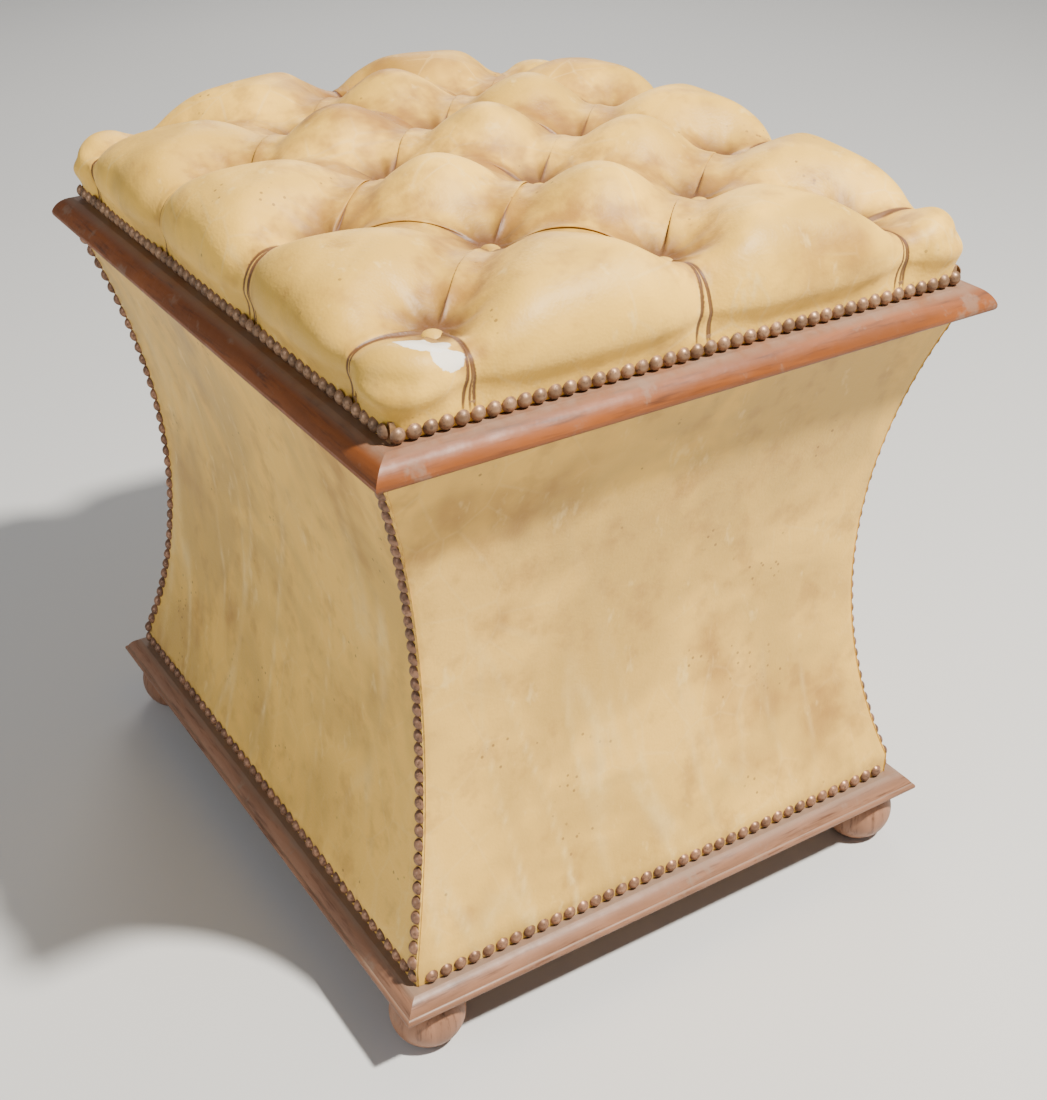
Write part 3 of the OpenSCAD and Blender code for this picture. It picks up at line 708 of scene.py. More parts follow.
TUCK_W = 0.024  # from a fold, where the leather turns down into it
WELL_W = 0.026  # radius of the hollow round a button
BUTTON_SPAN = np.array([0.152, 0.1965])  # half the field of buttons, across and along
EDGE_RISE = 0.010  # how much shallower the buttons at the edge sit
EDGE_EASE = 0.22  # share by which the folds at the edge are shallower
LIP_AT, LIP_W = 0.0035, 0.0028  # where the upper side of a fold bulges, and how widely
LIP_RISE = 0.0004
UNEVEN = ((9.0, 0.0010), (42.0, 0.0002))  # waviness of the pillows: how close, and how high
RAY_AT, RAY_W, RAY_RISE = 0.018, 0.012, 0.0011  # gathers that spread from a button


def gathers(flat, buttons):
    """Little pleats that spread out from each button."""
    total = np.zeros(len(flat))
    for index, b in enumerate(buttons):
        r = np.hypot(flat[:, 0] - b[0], flat[:, 1] - b[1])
        angle = np.arctan2(flat[:, 1] - b[1], flat[:, 0] - b[0])
        pulls = np.sin(angle * 11.0 + index * 1.7) * np.sin(angle * 3.0 + index)
        total += pulls * np.exp(-(((r - RAY_AT) / RAY_W) ** 2)) * RAY_RISE
    return total


def tuft(form, flat, folds, buttons, settings):
    """Points of the tufted surface, a mask of painted shade where it turns down into a fold, a mask of painted
    shade in the creases and button wells, and how near a fold.
    """
    base, down_side = form.place(flat)
    up_side = np.clip(1.0 - down_side, 0.0, 1.0)
    to_button = np.min([np.hypot(flat[:, 0] - b[0], flat[:, 1] - b[1]) for b in buttons], axis=0)
    well = np.exp(-((to_button / WELL_W) ** 2))
    to_edge = np.clip(((flat / BUTTON_SPAN) ** 2).sum(axis=1) / 2, 0.0, 1.2)
    sink = settings.button_sink - EDGE_RISE * to_edge
    middle = settings.fold_sink * (1.0 - EDGE_EASE * to_edge)
    keep = np.ones(len(flat))
    weight = np.full(len(flat), 1e-9)
    depth = np.zeros(len(flat))
    nearest = np.full(len(flat), 1.0)
    slide = np.zeros((len(flat), 2))
    lift = np.zeros(len(flat))
    for fold in folds:
        _, across, distance = fold.measure(flat)
        broad = np.clip(1.0 - distance / settings.pillow_w, 0.0, 1.0)
        near = np.clip(1.0 - distance / TUCK_W, 0.0, 1.0)
        pull = 0.35 * broad**2.2 + 0.65 * (1.0 - np.sqrt(np.clip(1.0 - near * near, 0.0, 1.0)))
        bottom = middle
        lap = np.exp(-(((across * fold.lean - LIP_AT) / LIP_W) ** 2)) * (1.0 - well)
        if fold.border:
            bottom = 1.15 * middle * up_side**0.6
            pull = pull * np.clip(up_side * 6.0, 0.0, 1.0)
            lap = lap * np.clip(up_side * 4.0, 0.0, 1.0)
        keep *= 1.0 - np.clip(pull, 0.0, 1.0)
        weight += pull
        depth += pull * bottom
        nearest = np.minimum(nearest, distance)
        slide -= (settings.lip * fold.lean * lap)[:, None] * fold.across
        lift += LIP_RISE * lap
    depth = depth / weight
    depth = depth + (sink - depth) * well
    level = np.column_stack([flat, np.zeros(len(flat))])
    waves = sum(ripple(level, scale, settings.seed + i) * rise for i, (scale, rise) in enumerate(UNEVEN))
    crest = keep**1.5 * up_side**0.4
    height = lift - (1.0 - keep) * depth + waves * crest + gathers(flat, buttons)
    moved = base + np.column_stack([slide, np.zeros(len(flat))]) + form.normals(flat) * height[:, None]
    # Painted shade: a dark line down each fold and over each button well, and a mask of the leather that turns
    # down into a fold
    line_w = 0.0011 + 0.0008 * np.clip(2.0 * up_side - 1.0, 0.0, 1.0)
    fold_shade = np.exp(-((nearest / line_w) ** 2)) * np.clip(up_side * 9.0, 0.0, 1.0)
    hollow = (1.0 - keep) * np.clip(up_side * 2.0, 0.0, 1.0)
    return moved, hollow, np.maximum(fold_shade, well * 0.7), nearest


SETTLE_FRAMES = 18


def settle(piece, pinned, settings):
    """Lets the stuffing's pressure fill the pillows between the held folds."""
    group = piece.vertex_groups.new(name="held")
    for index in range(len(pinned)):
        group.add([index], float(pinned[index]), "REPLACE")
    bpy.context.view_layer.objects.active = piece
    cloth = piece.modifiers.new("Stuffing", "CLOTH")
    leather = cloth.settings
    leather.quality = 6
    leather.mass = 0.4
    leather.tension_stiffness = leather.compression_stiffness = 18.0
    leather.shear_stiffness = 8.0
    leather.bending_stiffness = 12.0
    leather.air_damping = 4.0
    leather.vertex_group_mass = group.name
    leather.pin_stiffness = 1.0
    leather.use_pressure = True
    leather.uniform_pressure_force = settings.pressure
    leather.shrink_min = -settings.growth
    leather.effector_weights.gravity = 0.0
    cloth.collision_settings.use_self_collision = False
    cloth.point_cache.frame_start = 1
    cloth.point_cache.frame_end = SETTLE_FRAMES
    scene = bpy.context.scene
    for step in range(1, SETTLE_FRAMES + 1):
        scene.frame_set(step)
    shape = piece.evaluated_get(bpy.context.evaluated_depsgraph_get()).data
    after = np.empty(len(shape.vertices) * 3, dtype=np.float64)
    shape.vertices.foreach_get("co", after)
    piece.modifiers.remove(cloth)
    piece.vertex_groups.remove(group)
    scene.frame_set(1)
    return after.reshape(-1, 3)


def evened(move, piece, rounds=8):
    """Movement of each point averaged with its neighbours, so that only broad swelling is left."""
    ends = np.empty(len(piece.data.edges) * 2, dtype=np.int64)
    piece.data.edges.foreach_get("vertices", ends)
    a, b = ends[0::2], ends[1::2]
    count = np.maximum(np.bincount(ends, minlength=len(move)), 1)[:, None]
    for _ in range(rounds):
        total = np.zeros_like(move)
        np.add.at(total, a, move[b])
        np.add.at(total, b, move[a])
        move = 0.5 * move + 0.5 * total / count
    return move


def rim_order(flat, form):
    """The points on the edge of the flat layout, in order round it."""
    on_edge = np.where(form.from_core(flat) > form.outer_corner - 1e-5)[0]
    return sorted(on_edge, key=lambda i: math.atan2(flat[i, 1], flat[i, 0]))


HELD_W = 0.010  # from a fold, where the leather is held down
HELD_FOOT = (0.78, 0.08)  # share of the way down the side where the nails begin to hold, and by how much


def build_cushion(settings, leather, buttons, frame_box, ledge, crown):
    """The buttoned cover of the cushion, filled out by its stuffing and closed underneath."""
    hand = random.Random(settings.seed)
    form = CushionForm(settings, *frame_box, ledge, crown)
    local = [np.array([b.x - form.centre[0], b.y - form.centre[1]]) for b in buttons]
    folds = fold_pattern([tuple(b) for b in local], form, hand)
    flat, faces = flat_mesh(form, folds, local, settings.mesh)
    points, hollow, fold_shade, nearest = tuft(form, flat, folds, local, settings)
    points[:, :2] += form.centre
    piece = new_object("tufted_cushion", points, faces, leather)
    edge = form.place(flat)[1]
    held = np.clip(1.2 - nearest / HELD_W, 0.0, 1.0)
    held = np.maximum(held, np.clip((edge - HELD_FOOT[0]) / HELD_FOOT[1], 0.0, 1.0))
    held = np.where(held > 0.5, 1.0, held * 0.6)
    move = evened(settle(piece, held, settings) - points, piece)
    size = np.maximum(np.linalg.norm(move, axis=1), 1e-9)
    points = points + move * np.minimum(1.0, settings.swelling / size)[:, None]
    piece.data.vertices.foreach_set("co", points.ravel())
    piece.data.update()
    # Masks that the cushion leather uses for painted shade in the folds and button wells
    store(piece, "hollow", hollow)
    store(piece, "fold", fold_shade)
    close_under(piece, rim_order(flat, form), form, frame_box)
    skin = piece.modifiers.new("Smooth skin", "SUBSURF")
    skin.levels = skin.render_levels = 1
    return piece


def close_under(piece, rim, form, frame_box):
    """Turns the foot of the cover in behind the nails and closes it over the webbing."""
    mesh = bmesh.new()
    mesh.from_mesh(piece.data)
    mesh.verts.ensure_lookup_table()
    edge = [mesh.verts[i] for i in rim]
    middle = Vector((form.centre[0], form.centre[1], 0.0))
    slack, webbing_t = 0.0001, 0.0014
    half = [(frame_box[1][i] - frame_box[0][i]) / 2 + slack for i in range(2)]
    floor_z = frame_box[1].z + webbing_t
    rows = [edge]
    for z in (form.ledge, floor_z):
        row = []
        for vert in edge:
            away = vert.co - middle
            spot = (max(-half[0], min(half[0], away.x)), max(-half[1], min(half[1], away.y)))
            row.append(mesh.verts.new((middle.x + spot[0], middle.y + spot[1], z)))
        rows.append(row)
    count = len(edge)
    for a, b in zip(rows, rows[1:]):
        for i in range(count):
            j = (i + 1) % count
            mesh.faces.new((a[i], b[i], b[j], a[j]))
    hub = mesh.verts.new((middle.x, middle.y, floor_z))
    for i in range(count):
        mesh.faces.new((rows[-1][i], hub, rows[-1][(i + 1) % count]))
    bmesh.ops.recalc_face_normals(mesh, faces=mesh.faces)
    for face in mesh.faces:
        face.smooth = True
    mesh.to_mesh(piece.data)
    mesh.free()
    piece.data.update()


BUTTON_RISE = 0.0045  # height of a button's dome
BUTTON_STEM = 0.004  # how far a button goes down into its hollow
BUTTON_SIT = 0.0024  # how far the leather swallows its foot


def build_buttons(settings, leather, buttons, cushion, floor_z):
    """Leather-covered buttons, gathered a little unevenly, in the bottoms of the hollows."""
    rings, spokes = 7, 20
    angles = [2 * math.pi * spoke / spokes for spoke in range(spokes)]
    cloud = np.array([tuple(v.co) for v in cushion.data.vertices])
    points, faces = [], []
    for index, b in enumerate(buttons):
        near = (np.hypot(cloud[:, 0] - b.x, cloud[:, 1] - b.y) < 0.006) & (cloud[:, 2] > floor_z)
        sit = float(cloud[near, 2].mean()) - BUTTON_SIT
        first = len(points)
        for ring in range(rings):
            turn = math.pi / 2 * ring / (rings - 1)
            z = sit + BUTTON_RISE * math.sin(turn)
            for angle in angles:
                radius = settings.button_r * math.cos(turn) * (1.0 + 0.03 * math.sin(angle * 9 + index))
                points.append((b.x + radius * math.cos(angle), b.y + radius * math.sin(angle), z))
        base = len(points)
        stem = 0.8 * settings.button_r
        for angle in angles:
            points.append((b.x + stem * math.cos(angle), b.y + stem * math.sin(angle), sit - BUTTON_STEM))
        rows = [base] + [first + ring * spokes for ring in range(rings)]
        for a, c in zip(rows, rows[1:]):
            for spoke in range(spokes):
                after = (spoke + 1) % spokes
                faces.append((a + spoke, a + after, c + after, c + spoke))
        faces.append(tuple(base + s for s in range(spokes))[::-1])
        faces.append(tuple(rows[-1] + s for s in range(spokes)))
    return new_object("tuft_buttons", points, faces, leather)


# ---- leather of the sides ----


class Waist:
    """Outline of the box: how far the leather stands from the middle at each height."""

    RADIUS = 0.525  # of the arc from the waist up to the top
    DRAW = 0.028  # how far the waist is drawn in

    def __init__(self, cover_boxes, waist_z, top, foot):
        self.half = [cover_boxes["right"][1].x, cover_boxes["back"][1].y]
        self.top, self.foot, self.waist_z = top, foot, waist_z
        self.low_half = [half - self.flare() for half in self.half]

    def flare(self):
        rise = self.top - self.waist_z
        return self.RADIUS - math.sqrt(self.RADIUS**2 - rise**2) - self.DRAW

    def inset(self, z):
        rise = z - self.waist_z
        arc = self.DRAW - self.RADIUS + math.sqrt(self.RADIUS**2 - rise * rise)
        return arc if z > self.waist_z else max(0.0, arc)

    def at(self, axis, z):
        return self.low_half[axis] - self.inset(z)

    def arc_length(self):
        steps = spaced(self.foot, self.top, 0.002)
        pairs = zip(steps, steps[1:])
        return sum(math.hypot(b - a, self.inset(b) - self.inset(a)) for a, b in pairs)


def wrinkle_field(points, seed, amount):
    """Sharp little ridges and slow hollows, as old stretched leather has."""
    slow = ripple(points, 7.0, seed)
    lean = points[:, [0]] * np.array([1.0, 0.0, 0.0]) + points[:, [2]] * np.array([0.22, 0.0, 0.0])
    streak = 1.0 - np.abs(ripple(lean * 2.6 + points * np.array([0.6, 1.0, 0.5]), 9.0, seed + 2))
    ridge = np.clip((streak - 0.90) / 0.10, 0.0, 1.0) ** 2
    fine = ripple(points, 60.0, seed + 4)
    patchy = np.clip(ripple(points, 5.0, seed + 6) + 0.35, 0.0, 1.0)
    # The second value is the ridge mask, used for the painted highlight along the ridges
    return amount * (0.7 * slow + 1.3 * ridge * patchy + 0.18 * fine), ridge * patchy


SIDE_PITCH = 0.0038  # between the points of a side's leather
EDGE_MARGIN = 0.006  # from the edge to the first full column of points
FOOT_GAP = 0.0002  # over the plinth
EDGE_ROUND = (0.0012, 0.0018)  # how far the edge turns in, and how softly
NOTCH_DROP = 0.0046  # how far the leather is cut down round a hinge
PLINTH_NAIL = (0.0058, 0.0009, 0.0105)  # height over the plinth, stagger and spacing
EDGE_NAIL = (0.0052, 0.0097)  # distance from the edge, and spacing
PUCKER = 0.00035  # how high the leather bunches between two nails
PRESSED = 0.0003  # how deep a row of nails presses in
RELIEF_LIMITS = (-0.0012, 0.0011)
CALM_TOP = (0.035, 0.030)  # flat strip under the lid, and how softly it ends


def nail_puckers(rows, from_edge, along, outline, axis):
    """Leather bunched between the nails and pressed down under them."""
    up, stagger, step = PLINTH_NAIL
    nail_z = outline.foot + up + stagger * (1 if axis == 0 else -1)
    bunch = np.cos(2 * math.pi * along / step) * np.exp(-(np.abs(rows - nail_z - 0.009) / 0.008))
    relief = PUCKER * bunch - PRESSED * np.exp(-(np.abs(rows - nail_z) / 0.009))
    if axis == 0:
        inward, step = EDGE_NAIL
        bunch = np.cos(2 * math.pi * rows / step) * np.exp(-(np.abs(from_edge - 0.013) / 0.007))
        relief += PRESSED * bunch - PRESSED * np.exp(-(np.abs(from_edge - inward) / 0.006))
    return relief


def build_side(name, outline, settings, material, notches=()):
    """One side's leather, stretched over the ribs and nailed along its foot and edges."""
    axis, sign = SIDES[name]
    other = 1 - axis
    seed = 11 + 7 * axis + (3 if sign > 0 else 0)
    foot, top = outline.foot + FOOT_GAP, outline.top
    heights = spaced(foot, top, SIDE_PITCH, [foot + 0.003, top - 0.002])
    reach = max(outline.half[other], outline.low_half[other])
    margin = 1 - EDGE_MARGIN / reach
    cuts = {c / reach for low, high in notches for c in (low - 0.0002, low, high, high + 0.0002)}
    columns = sorted(set(spaced(-1.0, 1.0, SIDE_PITCH / reach, [-margin, margin])) | cuts)
    outer, inner = [], []
    for z in heights:
        for u in columns:
            in_notch = any(low <= u * reach <= high for low, high in notches)
            cut_z = min(z, top - NOTCH_DROP - (top - z) * 0.02) if in_notch else z
            wide, out = outline.at(other, cut_z), outline.at(axis, cut_z)
            rounding = EDGE_ROUND[0] * math.exp(-(wide - abs(u * wide)) / EDGE_ROUND[1])
            outer.append((u * wide, out - rounding, cut_z))
            inner.append((u * (wide - settings.backing), out - settings.backing, cut_z))
    outer, inner = np.array(outer), np.array(inner)
    rows = np.repeat(heights, len(columns))
    from_edge = np.array([outline.at(other, z) * (1 - abs(u)) for z in heights for u in columns])
    spot = np.column_stack([outer[:, 0], np.full(len(outer), 0.2 * seed), outer[:, 2]])
    relief, ridge = wrinkle_field(spot, seed, settings.wrinkle)
    relief += nail_puckers(rows, from_edge, outer[:, 0], outline, axis)
    calm = np.clip(from_edge / 0.004, 0.0, 1.0)
    calm *= np.clip((top - rows - CALM_TOP[0]) / CALM_TOP[1], 0.0, 1.0)
    outer[:, 1] += np.clip(relief, *RELIEF_LIMITS) * calm
    across = [0, 1] if axis == 1 else [1, 0]
    turned = []
    for grid in (outer, inner):
        grid = grid * [1.0, sign, 1.0]
        turned.append(grid[:, across + [2]])
    piece = slab(f"{name}_leather", *turned, len(columns), len(heights), material)
    # Ridge mask that the side leather uses for the painted highlight along the wrinkle ridges
    store(piece, "ridge", np.concatenate([ridge * calm, np.zeros(len(inner))]))
    return piece


# ---- linings ----


CLOTH_PITCH = 0.009  # between the points of the well's cloth
WELL_CORNER = 0.010  # radius of the cloth in the well's corners
CLOTH_GAP = 0.0005  # between the walls' cloth and the floor
FLOOR_MARGIN = 0.002
SLACK = 0.0018  # how far the cloth stands loose from the boards
SAG = 0.0022  # how far the lid's cloth hangs over the well
TACK_STEP = 0.028  # between two tacks of the lid's cloth


def flat_grid(low, high, pitch):
    """A level grid of points, with its number of columns and rows."""
    xs, ys = spaced(low.x, high.x, pitch), spaced(low.y, high.y, pitch)
    return np.array([(x, y, 0.0) for y in ys for x in xs]), len(xs), len(ys)


def from_rim(flat, low, high):
    """How far each point is inside a rectangle."""
    corners = np.array([[low.x, low.y], [high.x, high.y]])
    return np.min(np.hstack([flat[:, :2] - corners[0], corners[1] - flat[:, :2]]), axis=1)


def raised(flat, z):
    return flat + np.column_stack([np.zeros((len(flat), 2)), z])


def build_wall_cloth(material, low, high, cloth_t):
    """Cloth pasted round the walls of the well, a little loose in places."""
    centre = np.array([(low.x + high.x) / 2, (low.y + high.y) / 2])
    core = np.array([(high.x - low.x) / 2, (high.y - low.y) / 2]) - WELL_CORNER
    ring = rounded_ring(core, 8, CLOTH_PITCH)
    heights = spaced(low.z + CLOTH_GAP, high.z, CLOTH_PITCH)
    spots = np.array([(*(at + way * WELL_CORNER), z) for z in heights for at, way in ring])
    slack = 0.5 + 0.5 * ripple(spots * np.array([1.0, 1.0, 0.45]), 13.0, 31)
    loose = np.repeat([min(1.0, (high.z - z) / 0.03) for z in heights], len(ring))
    ways = np.array([(*way, 0.0) for _ in heights for _, way in ring])
    middle = np.array([*centre, 0.0])
    front = spots + middle - ways * (cloth_t + SLACK * slack * loose)[:, None]
    back = front + ways * 0.7 * cloth_t
    return slab("well_cloth", front, back, len(ring), len(heights), material, closed=True)


def build_floor_cloth(material, low, high, cloth_t):
    """Cloth laid on the floor of the well."""
    margin = Vector((FLOOR_MARGIN, FLOOR_MARGIN, 0.0))
    flat, columns, rows = flat_grid(low + margin, high - margin, CLOTH_PITCH)
    lift = low.z + 0.0012 + 0.0009 * ripple(flat, 15.0, 37)
    under, top = raised(flat, lift - 0.7 * cloth_t), raised(flat, lift)
    return slab("well_floor_cloth", under, top, columns, rows, material)


def build_lid_cloth(material, low, high, well_low, well_high):
    """Dust cloth tacked under the lid, sagging slightly over the well."""
    flat, columns, rows = flat_grid(low, high, 0.008)
    edge = from_rim(flat, low, high)
    inside = np.clip(from_rim(flat, well_low, well_high) / 0.05, 0.0, 1.0)
    to_x = np.minimum(flat[:, 0] - low.x, high.x - flat[:, 0])
    to_y = np.minimum(flat[:, 1] - low.y, high.y - flat[:, 1])
    along = np.where(to_x < to_y, flat[:, 1], flat[:, 0])
    pucker = 0.00022 * (1 + np.cos(2 * math.pi * along / TACK_STEP)) * np.exp(-edge / 0.018)
    waves = 0.0009 * (ripple(flat, 12.0, 41) + 1.0) * inside
    under = high.z - 0.00055 - pucker * 0.6 - SAG * inside**1.5 - waves
    return slab("lid_cloth", raised(flat, under), raised(flat, under + 0.0005), columns, rows, material)


# ---- stage ----


# The camera's right and up directions, and where it stands
CAMERA_AXES = ((0.84520, -0.53437, -0.01034), (0.28178, 0.42936, 0.85806))
CAMERA_PLACE = (-0.52779, -0.89392, 0.81935)
AIM = (0.0, 0.0, 0.3)
# Each light: place, size, share of the main light's power, and colour
LIGHTS = {
    "Key": ((0.70, -1.40, 2.60), 0.20, 1.0, (1.0, 0.955, 0.88)),
    "Fill": ((-2.7, 0.1, 1.3), 1.8, 0.11, (0.93, 0.96, 1.0)),
    "Back": ((1.6, 2.6, 1.9), 1.6, 0.16, (1.0, 0.97, 0.93)),
}
SKY_TINT = (0.93, 0.95, 1.0, 1.0)
FLOOR_HALF = 9.0


def build_camera(settings):
    data = bpy.data.cameras.new("View")
    data.lens = settings.lens
    data.clip_start = 0.01
    camera = bpy.data.objects.new("View", data)
    right = Vector(CAMERA_AXES[0]).normalized()
    up = Vector(CAMERA_AXES[1])
    up = (up - right * up.dot(right)).normalized()
    turn = Matrix((right, up, right.cross(up))).transposed().to_4x4()
    camera.matrix_world = Matrix.Translation(CAMERA_PLACE) @ turn
    bpy.context.scene.collection.objects.link(camera)
    bpy.context.scene.camera = camera
    return camera


def build_light(name, place, size, power, tint):
    data = bpy.data.lights.new(name, "AREA")
    data.shape = "DISK"
    data.size = size
    data.energy = power
    data.color = tint
    light = bpy.data.objects.new(name, data)
    light.location = place
    light.rotation_euler = (Vector(AIM) - Vector(place)).to_track_quat("-Z", "Y").to_euler()
    bpy.context.scene.collection.objects.link(light)
    return light


def build_floor(settings):
    paint = Paint("Floor")
    cloud = paint.noise(1.3, 1.0, 0.5)
    base = paint.mix(paint.band(cloud, 0.3, 0.7), shade(settings.floor, 0.985), settings.floor)
    paint.finish(base, 0.75, paint.relief((cloud, 0.0001)), specular=0.2)
    corners = [(sx * FLOOR_HALF, sy * FLOOR_HALF, 0.0) for sx, sy in QUARTERS]
    return new_object("floor", corners, [(0, 1, 2, 3)], paint.material, smooth=False)


def build_sky(settings):
    world = bpy.data.worlds.new("Studio")
    world.use_nodes = True
    background = world.node_tree.nodes["Background"]
    background.inputs["Color"].default_value = SKY_TINT
    background.inputs["Strength"].default_value = settings.sky
    bpy.context.scene.world = world


# ---- operators ----


# Every finish by its short name, once the first operator has mixed them
FINISHES = {}
# The ways that a moulding's grain may run, and the axis of each
RUNS = {"across": 0, "lengthwise": 1}


class OTTOMAN_OT_materials(bpy.types.Operator):
    """Mix every finish: leathers, woods, metals and cloths"""

    bl_idname = "ottoman.materials"
    bl_label = "Finishes"

    def execute(self, context):
        scene, made = context.scene, FINISHES
        hide, wood = scene.ottoman_leather, scene.ottoman_wood
        metal, cloth = scene.ottoman_metal, scene.ottoman_cloth
        made["cushion"] = leather_material("Cushion leather", hide.gold, hide, folds=True, spots=True)
        made["side"] = leather_material("Side leather", hide.straw, hide, stains=0.34)
        made["button"] = leather_material("Button leather", shade(hide.gold, 0.8), hide, stains=0.6)
        dull = tuple(0.5 * polish + 0.5 * bloom for polish, bloom in zip(wood.polish, wood.bloom))
        grain, bloom = wood.dark, wood.bloom
        for run, along in RUNS.items():
            made[f"moulding {run}"] = wood_material(f"Polished wood {run}", wood.polish, grain, bloom, along)
            made[f"plinth {run}"] = wood_material(f"Rubbed wood {run}", dull, grain, bloom, along, wear=0.85)
        made["foot"] = wood_material("Turned wood", shade(dull, 1.25), grain, bloom, along=2, wear=0.8)
        boards = (("pine", "Pine boards", wood.pine, 1.2, 2), ("beech", "Beech rails", wood.beech, 1.3, 0))
        for key, name, tone, light, along in boards:
            made[key] = wood_material(name, tone, shade(tone, 0.5), shade(tone, light), along, wear=0.3)
        made["lid nail"] = nail_material("Cushion nails", metal.lid_nail, metal.tarnish)
        made["box nail"] = nail_material("Box nails", metal.box_nail, metal.tarnish)
        made["brass"] = brass_material("Hinge brass", metal.hinge)
        made["cotton"] = cloth_material("Lining cotton", cloth.cotton, cloth.weave)
        made["wall cotton"] = cloth_material("Wall cotton", cloth.cotton, cloth.weave, upright=True)
        made["jute"] = cloth_material("Webbing jute", cloth.jute, cloth.weave * 3.0, fuzz=0.4)
        return {"FINISHED"}


class OTTOMAN_OT_woodwork(bpy.types.Operator):
    """Finish the carcase, the mouldings and the feet"""

    bl_idname = "ottoman.woodwork"
    bl_label = "Woodwork"

    def execute(self, context):
        corners = [f"{end}_{hand}" for end in ENDS for hand in HANDS]
        rails = [f"{part}_{side}" for part in ("base_rail", "top_rail", "lid_rail") for side in SIDES]
        ribs = ["ribs_front_and_back", "ribs_left_and_right"]
        paint_nodes(["floor_board"] + [f"{side}_panel" for side in SIDES], FINISHES["pine"])
        paint_nodes(rails + ribs + [f"corner_post_{corner}" for corner in corners], FINISHES["beech"])
        for side, (axis, _) in SIDES.items():
            run = "across" if axis == 1 else "lengthwise"
            paint_nodes([f"lid_moulding_{side}"], FINISHES[f"moulding {run}"])
            paint_nodes([f"plinth_{side}"], FINISHES[f"plinth {run}"])
        paint_nodes([f"foot_{corner}" for corner in corners], FINISHES["foot"])
        return {"FINISHED"}


class OTTOMAN_OT_metalwork(bpy.types.Operator):
    """Finish the nails, the hinges and the screws"""

    bl_idname = "ottoman.metalwork"
    bl_label = "Metalwork"

    def execute(self, context):
        leaves = [f"hinge_leaf_{part}_{hand}" for part in ("box", "lid") for hand in HANDS]
        paint_nodes(["lid_nails"], FINISHES["lid nail"])
        paint_nodes(["plinth_nails", "edge_nails"], FINISHES["box nail"])
        paint_nodes(leaves + ["hinge_pins", "hinge_screws_box", "hinge_screws_lid"], FINISHES["brass"])
        return {"FINISHED"}


class OTTOMAN_OT_cushion(bpy.types.Operator):
    """Make the deep-buttoned cushion with its covered buttons"""

    bl_idname = "ottoman.cushion"
    bl_label = "Buttoned cushion"

    def execute(self, context):
        settings = context.scene.ottoman_cushion
        buttons = islands(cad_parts["cushion_buttons"])
        if len(buttons) < 3:
            raise RuntimeError("the frame has no button places")
        rails = [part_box(f"lid_rail_{side}") for side in SIDES]
        low = Vector([min(box[0][i] for box in rails) for i in range(3)])
        high = Vector([max(box[1][i] for box in rails) for i in range(3)])
        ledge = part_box("lid_moulding_front")[1].z
        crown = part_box("cushion_cover")[1].z
        cushion = build_cushion(settings, FINISHES["cushion"], buttons, (low, high), ledge, crown)
        tops = build_buttons(settings, FINISHES["button"], buttons, cushion, high.z + 0.01)
        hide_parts("cushion_cover", "cushion_stuffing")
        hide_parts("cushion_buttons")
        for piece in (cushion, tops):
            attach(piece, "lid")
        return {"FINISHED"}


class OTTOMAN_OT_sides(bpy.types.Operator):
    """Stretch the leather over the four hollow sides"""

    bl_idname = "ottoman.sides"
    bl_label = "Side leather"

    def execute(self, context):
        settings = context.scene.ottoman_leather
        covers = {side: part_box(f"{side}_cover") for side in SIDES}
        top = covers["front"][1].z
        outline = Waist(covers, settings.waist_z, top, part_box("plinth_front")[1].z)
        rise = outline.arc_length()
        clear = 0.0006
        leaves = [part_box(f"hinge_leaf_box_{hand}") for hand in HANDS]
        knuckles = [(leaf[0].x - clear, leaf[1].x + clear) for leaf in leaves]
        for side, (axis, _) in SIDES.items():
            notches = knuckles if side == "back" else ()
            piece = build_side(side, outline, settings, FINISHES["side"], notches)
            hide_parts(f"{side}_cover")
            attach(piece, "box")
        return {"FINISHED"}


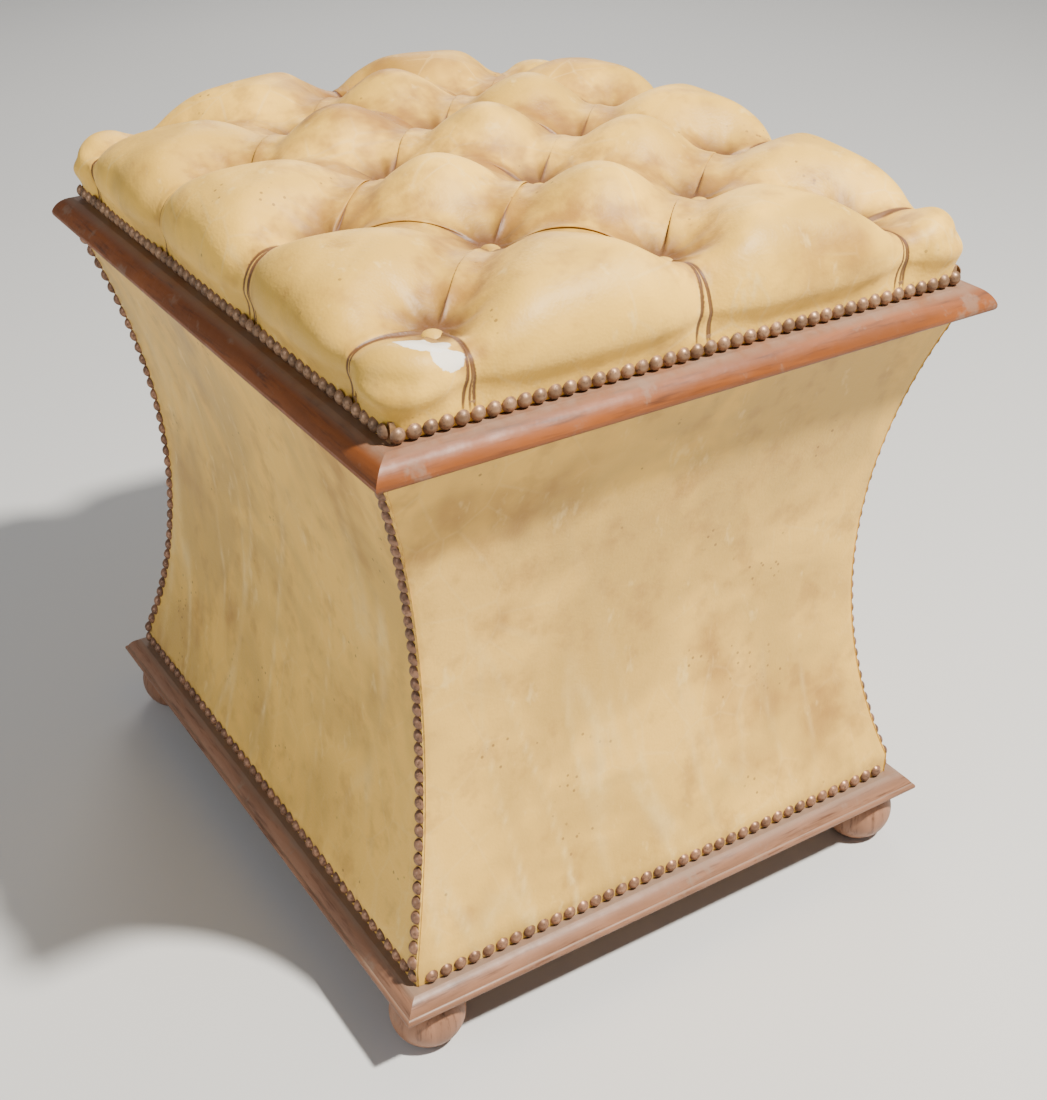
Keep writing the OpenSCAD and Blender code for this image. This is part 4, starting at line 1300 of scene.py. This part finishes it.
class OTTOMAN_OT_linings(bpy.types.Operator):
    """Line the well, and close the underside of the lid with cloth"""

    bl_idname = "ottoman.linings"
    bl_label = "Linings"

    def execute(self, context):
        cloth_t = context.scene.ottoman_cloth.lining
        cotton = FINISHES["cotton"]
        low = Vector([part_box("left_panel")[1].x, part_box("front_panel")[1].y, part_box("floor_board")[1].z])
        high = Vector([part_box("right_panel")[0].x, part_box("back_panel")[0].y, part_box("well_lining")[1].z])
        walls = build_wall_cloth(FINISHES["wall cotton"], low, high, cloth_t)
        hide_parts("well_lining")
        floor = build_floor_cloth(cotton, low, high, cloth_t)
        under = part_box("lid_lining")
        underside = build_lid_cloth(cotton, under[0], under[1], low, high)
        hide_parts("lid_lining")
        paint_nodes(["lid_webbing"], FINISHES["jute"])
        for piece, body in ((walls, "box"), (floor, "box"), (underside, "lid")):
            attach(piece, body)
        return {"FINISHED"}


class OTTOMAN_OT_stage(bpy.types.Operator):
    """Set the floor, the lights and the camera"""

    bl_idname = "ottoman.stage"
    bl_label = "Stage"

    def execute(self, context):
        settings = context.scene.ottoman_stage
        floor = build_floor(settings)
        lights = [
            build_light(name, place, size, settings.key * share, tint)
            for name, (place, size, share, tint) in LIGHTS.items()
        ]
        camera = build_camera(settings)
        build_sky(settings)
        return {"FINISHED"}


class OTTOMAN_PT_panel(bpy.types.Panel):
    """Lists every size and colour, and every step in its order"""

    bl_idname = "OTTOMAN_PT_panel"
    bl_label = "Buttoned box ottoman"
    bl_space_type = "VIEW_3D"
    bl_region_type = "UI"
    bl_category = "Ottoman"

    def draw(self, context):
        for group in GROUPS:
            box = self.layout.box()
            box.label(text=group.split("_")[1].capitalize())
            settings = getattr(context.scene, group)
            for name in settings.bl_rna.properties.keys():
                if name not in ("rna_type", "name"):
                    box.prop(settings, name)
        for step in STEPS:
            self.layout.operator(step.bl_idname)


STEPS = (
    OTTOMAN_OT_materials, OTTOMAN_OT_woodwork, OTTOMAN_OT_metalwork, OTTOMAN_OT_cushion,
    OTTOMAN_OT_sides, OTTOMAN_OT_linings, OTTOMAN_OT_stage,
)


def register():
    for kind in (*GROUPS.values(), *STEPS, OTTOMAN_PT_panel):
        bpy.utils.register_class(kind)
    for name, kind in GROUPS.items():
        setattr(bpy.types.Scene, name, PointerProperty(type=kind))


def unregister():
    for name in GROUPS:
        delattr(bpy.types.Scene, name)
    for kind in reversed((*GROUPS.values(), *STEPS, OTTOMAN_PT_panel)):
        bpy.utils.unregister_class(kind)


def main():
    register()
    for step in STEPS:
        group, name = step.bl_idname.split(".")
        getattr(getattr(bpy.ops, group), name)()
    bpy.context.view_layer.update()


if __name__ == "__main__":
    main()
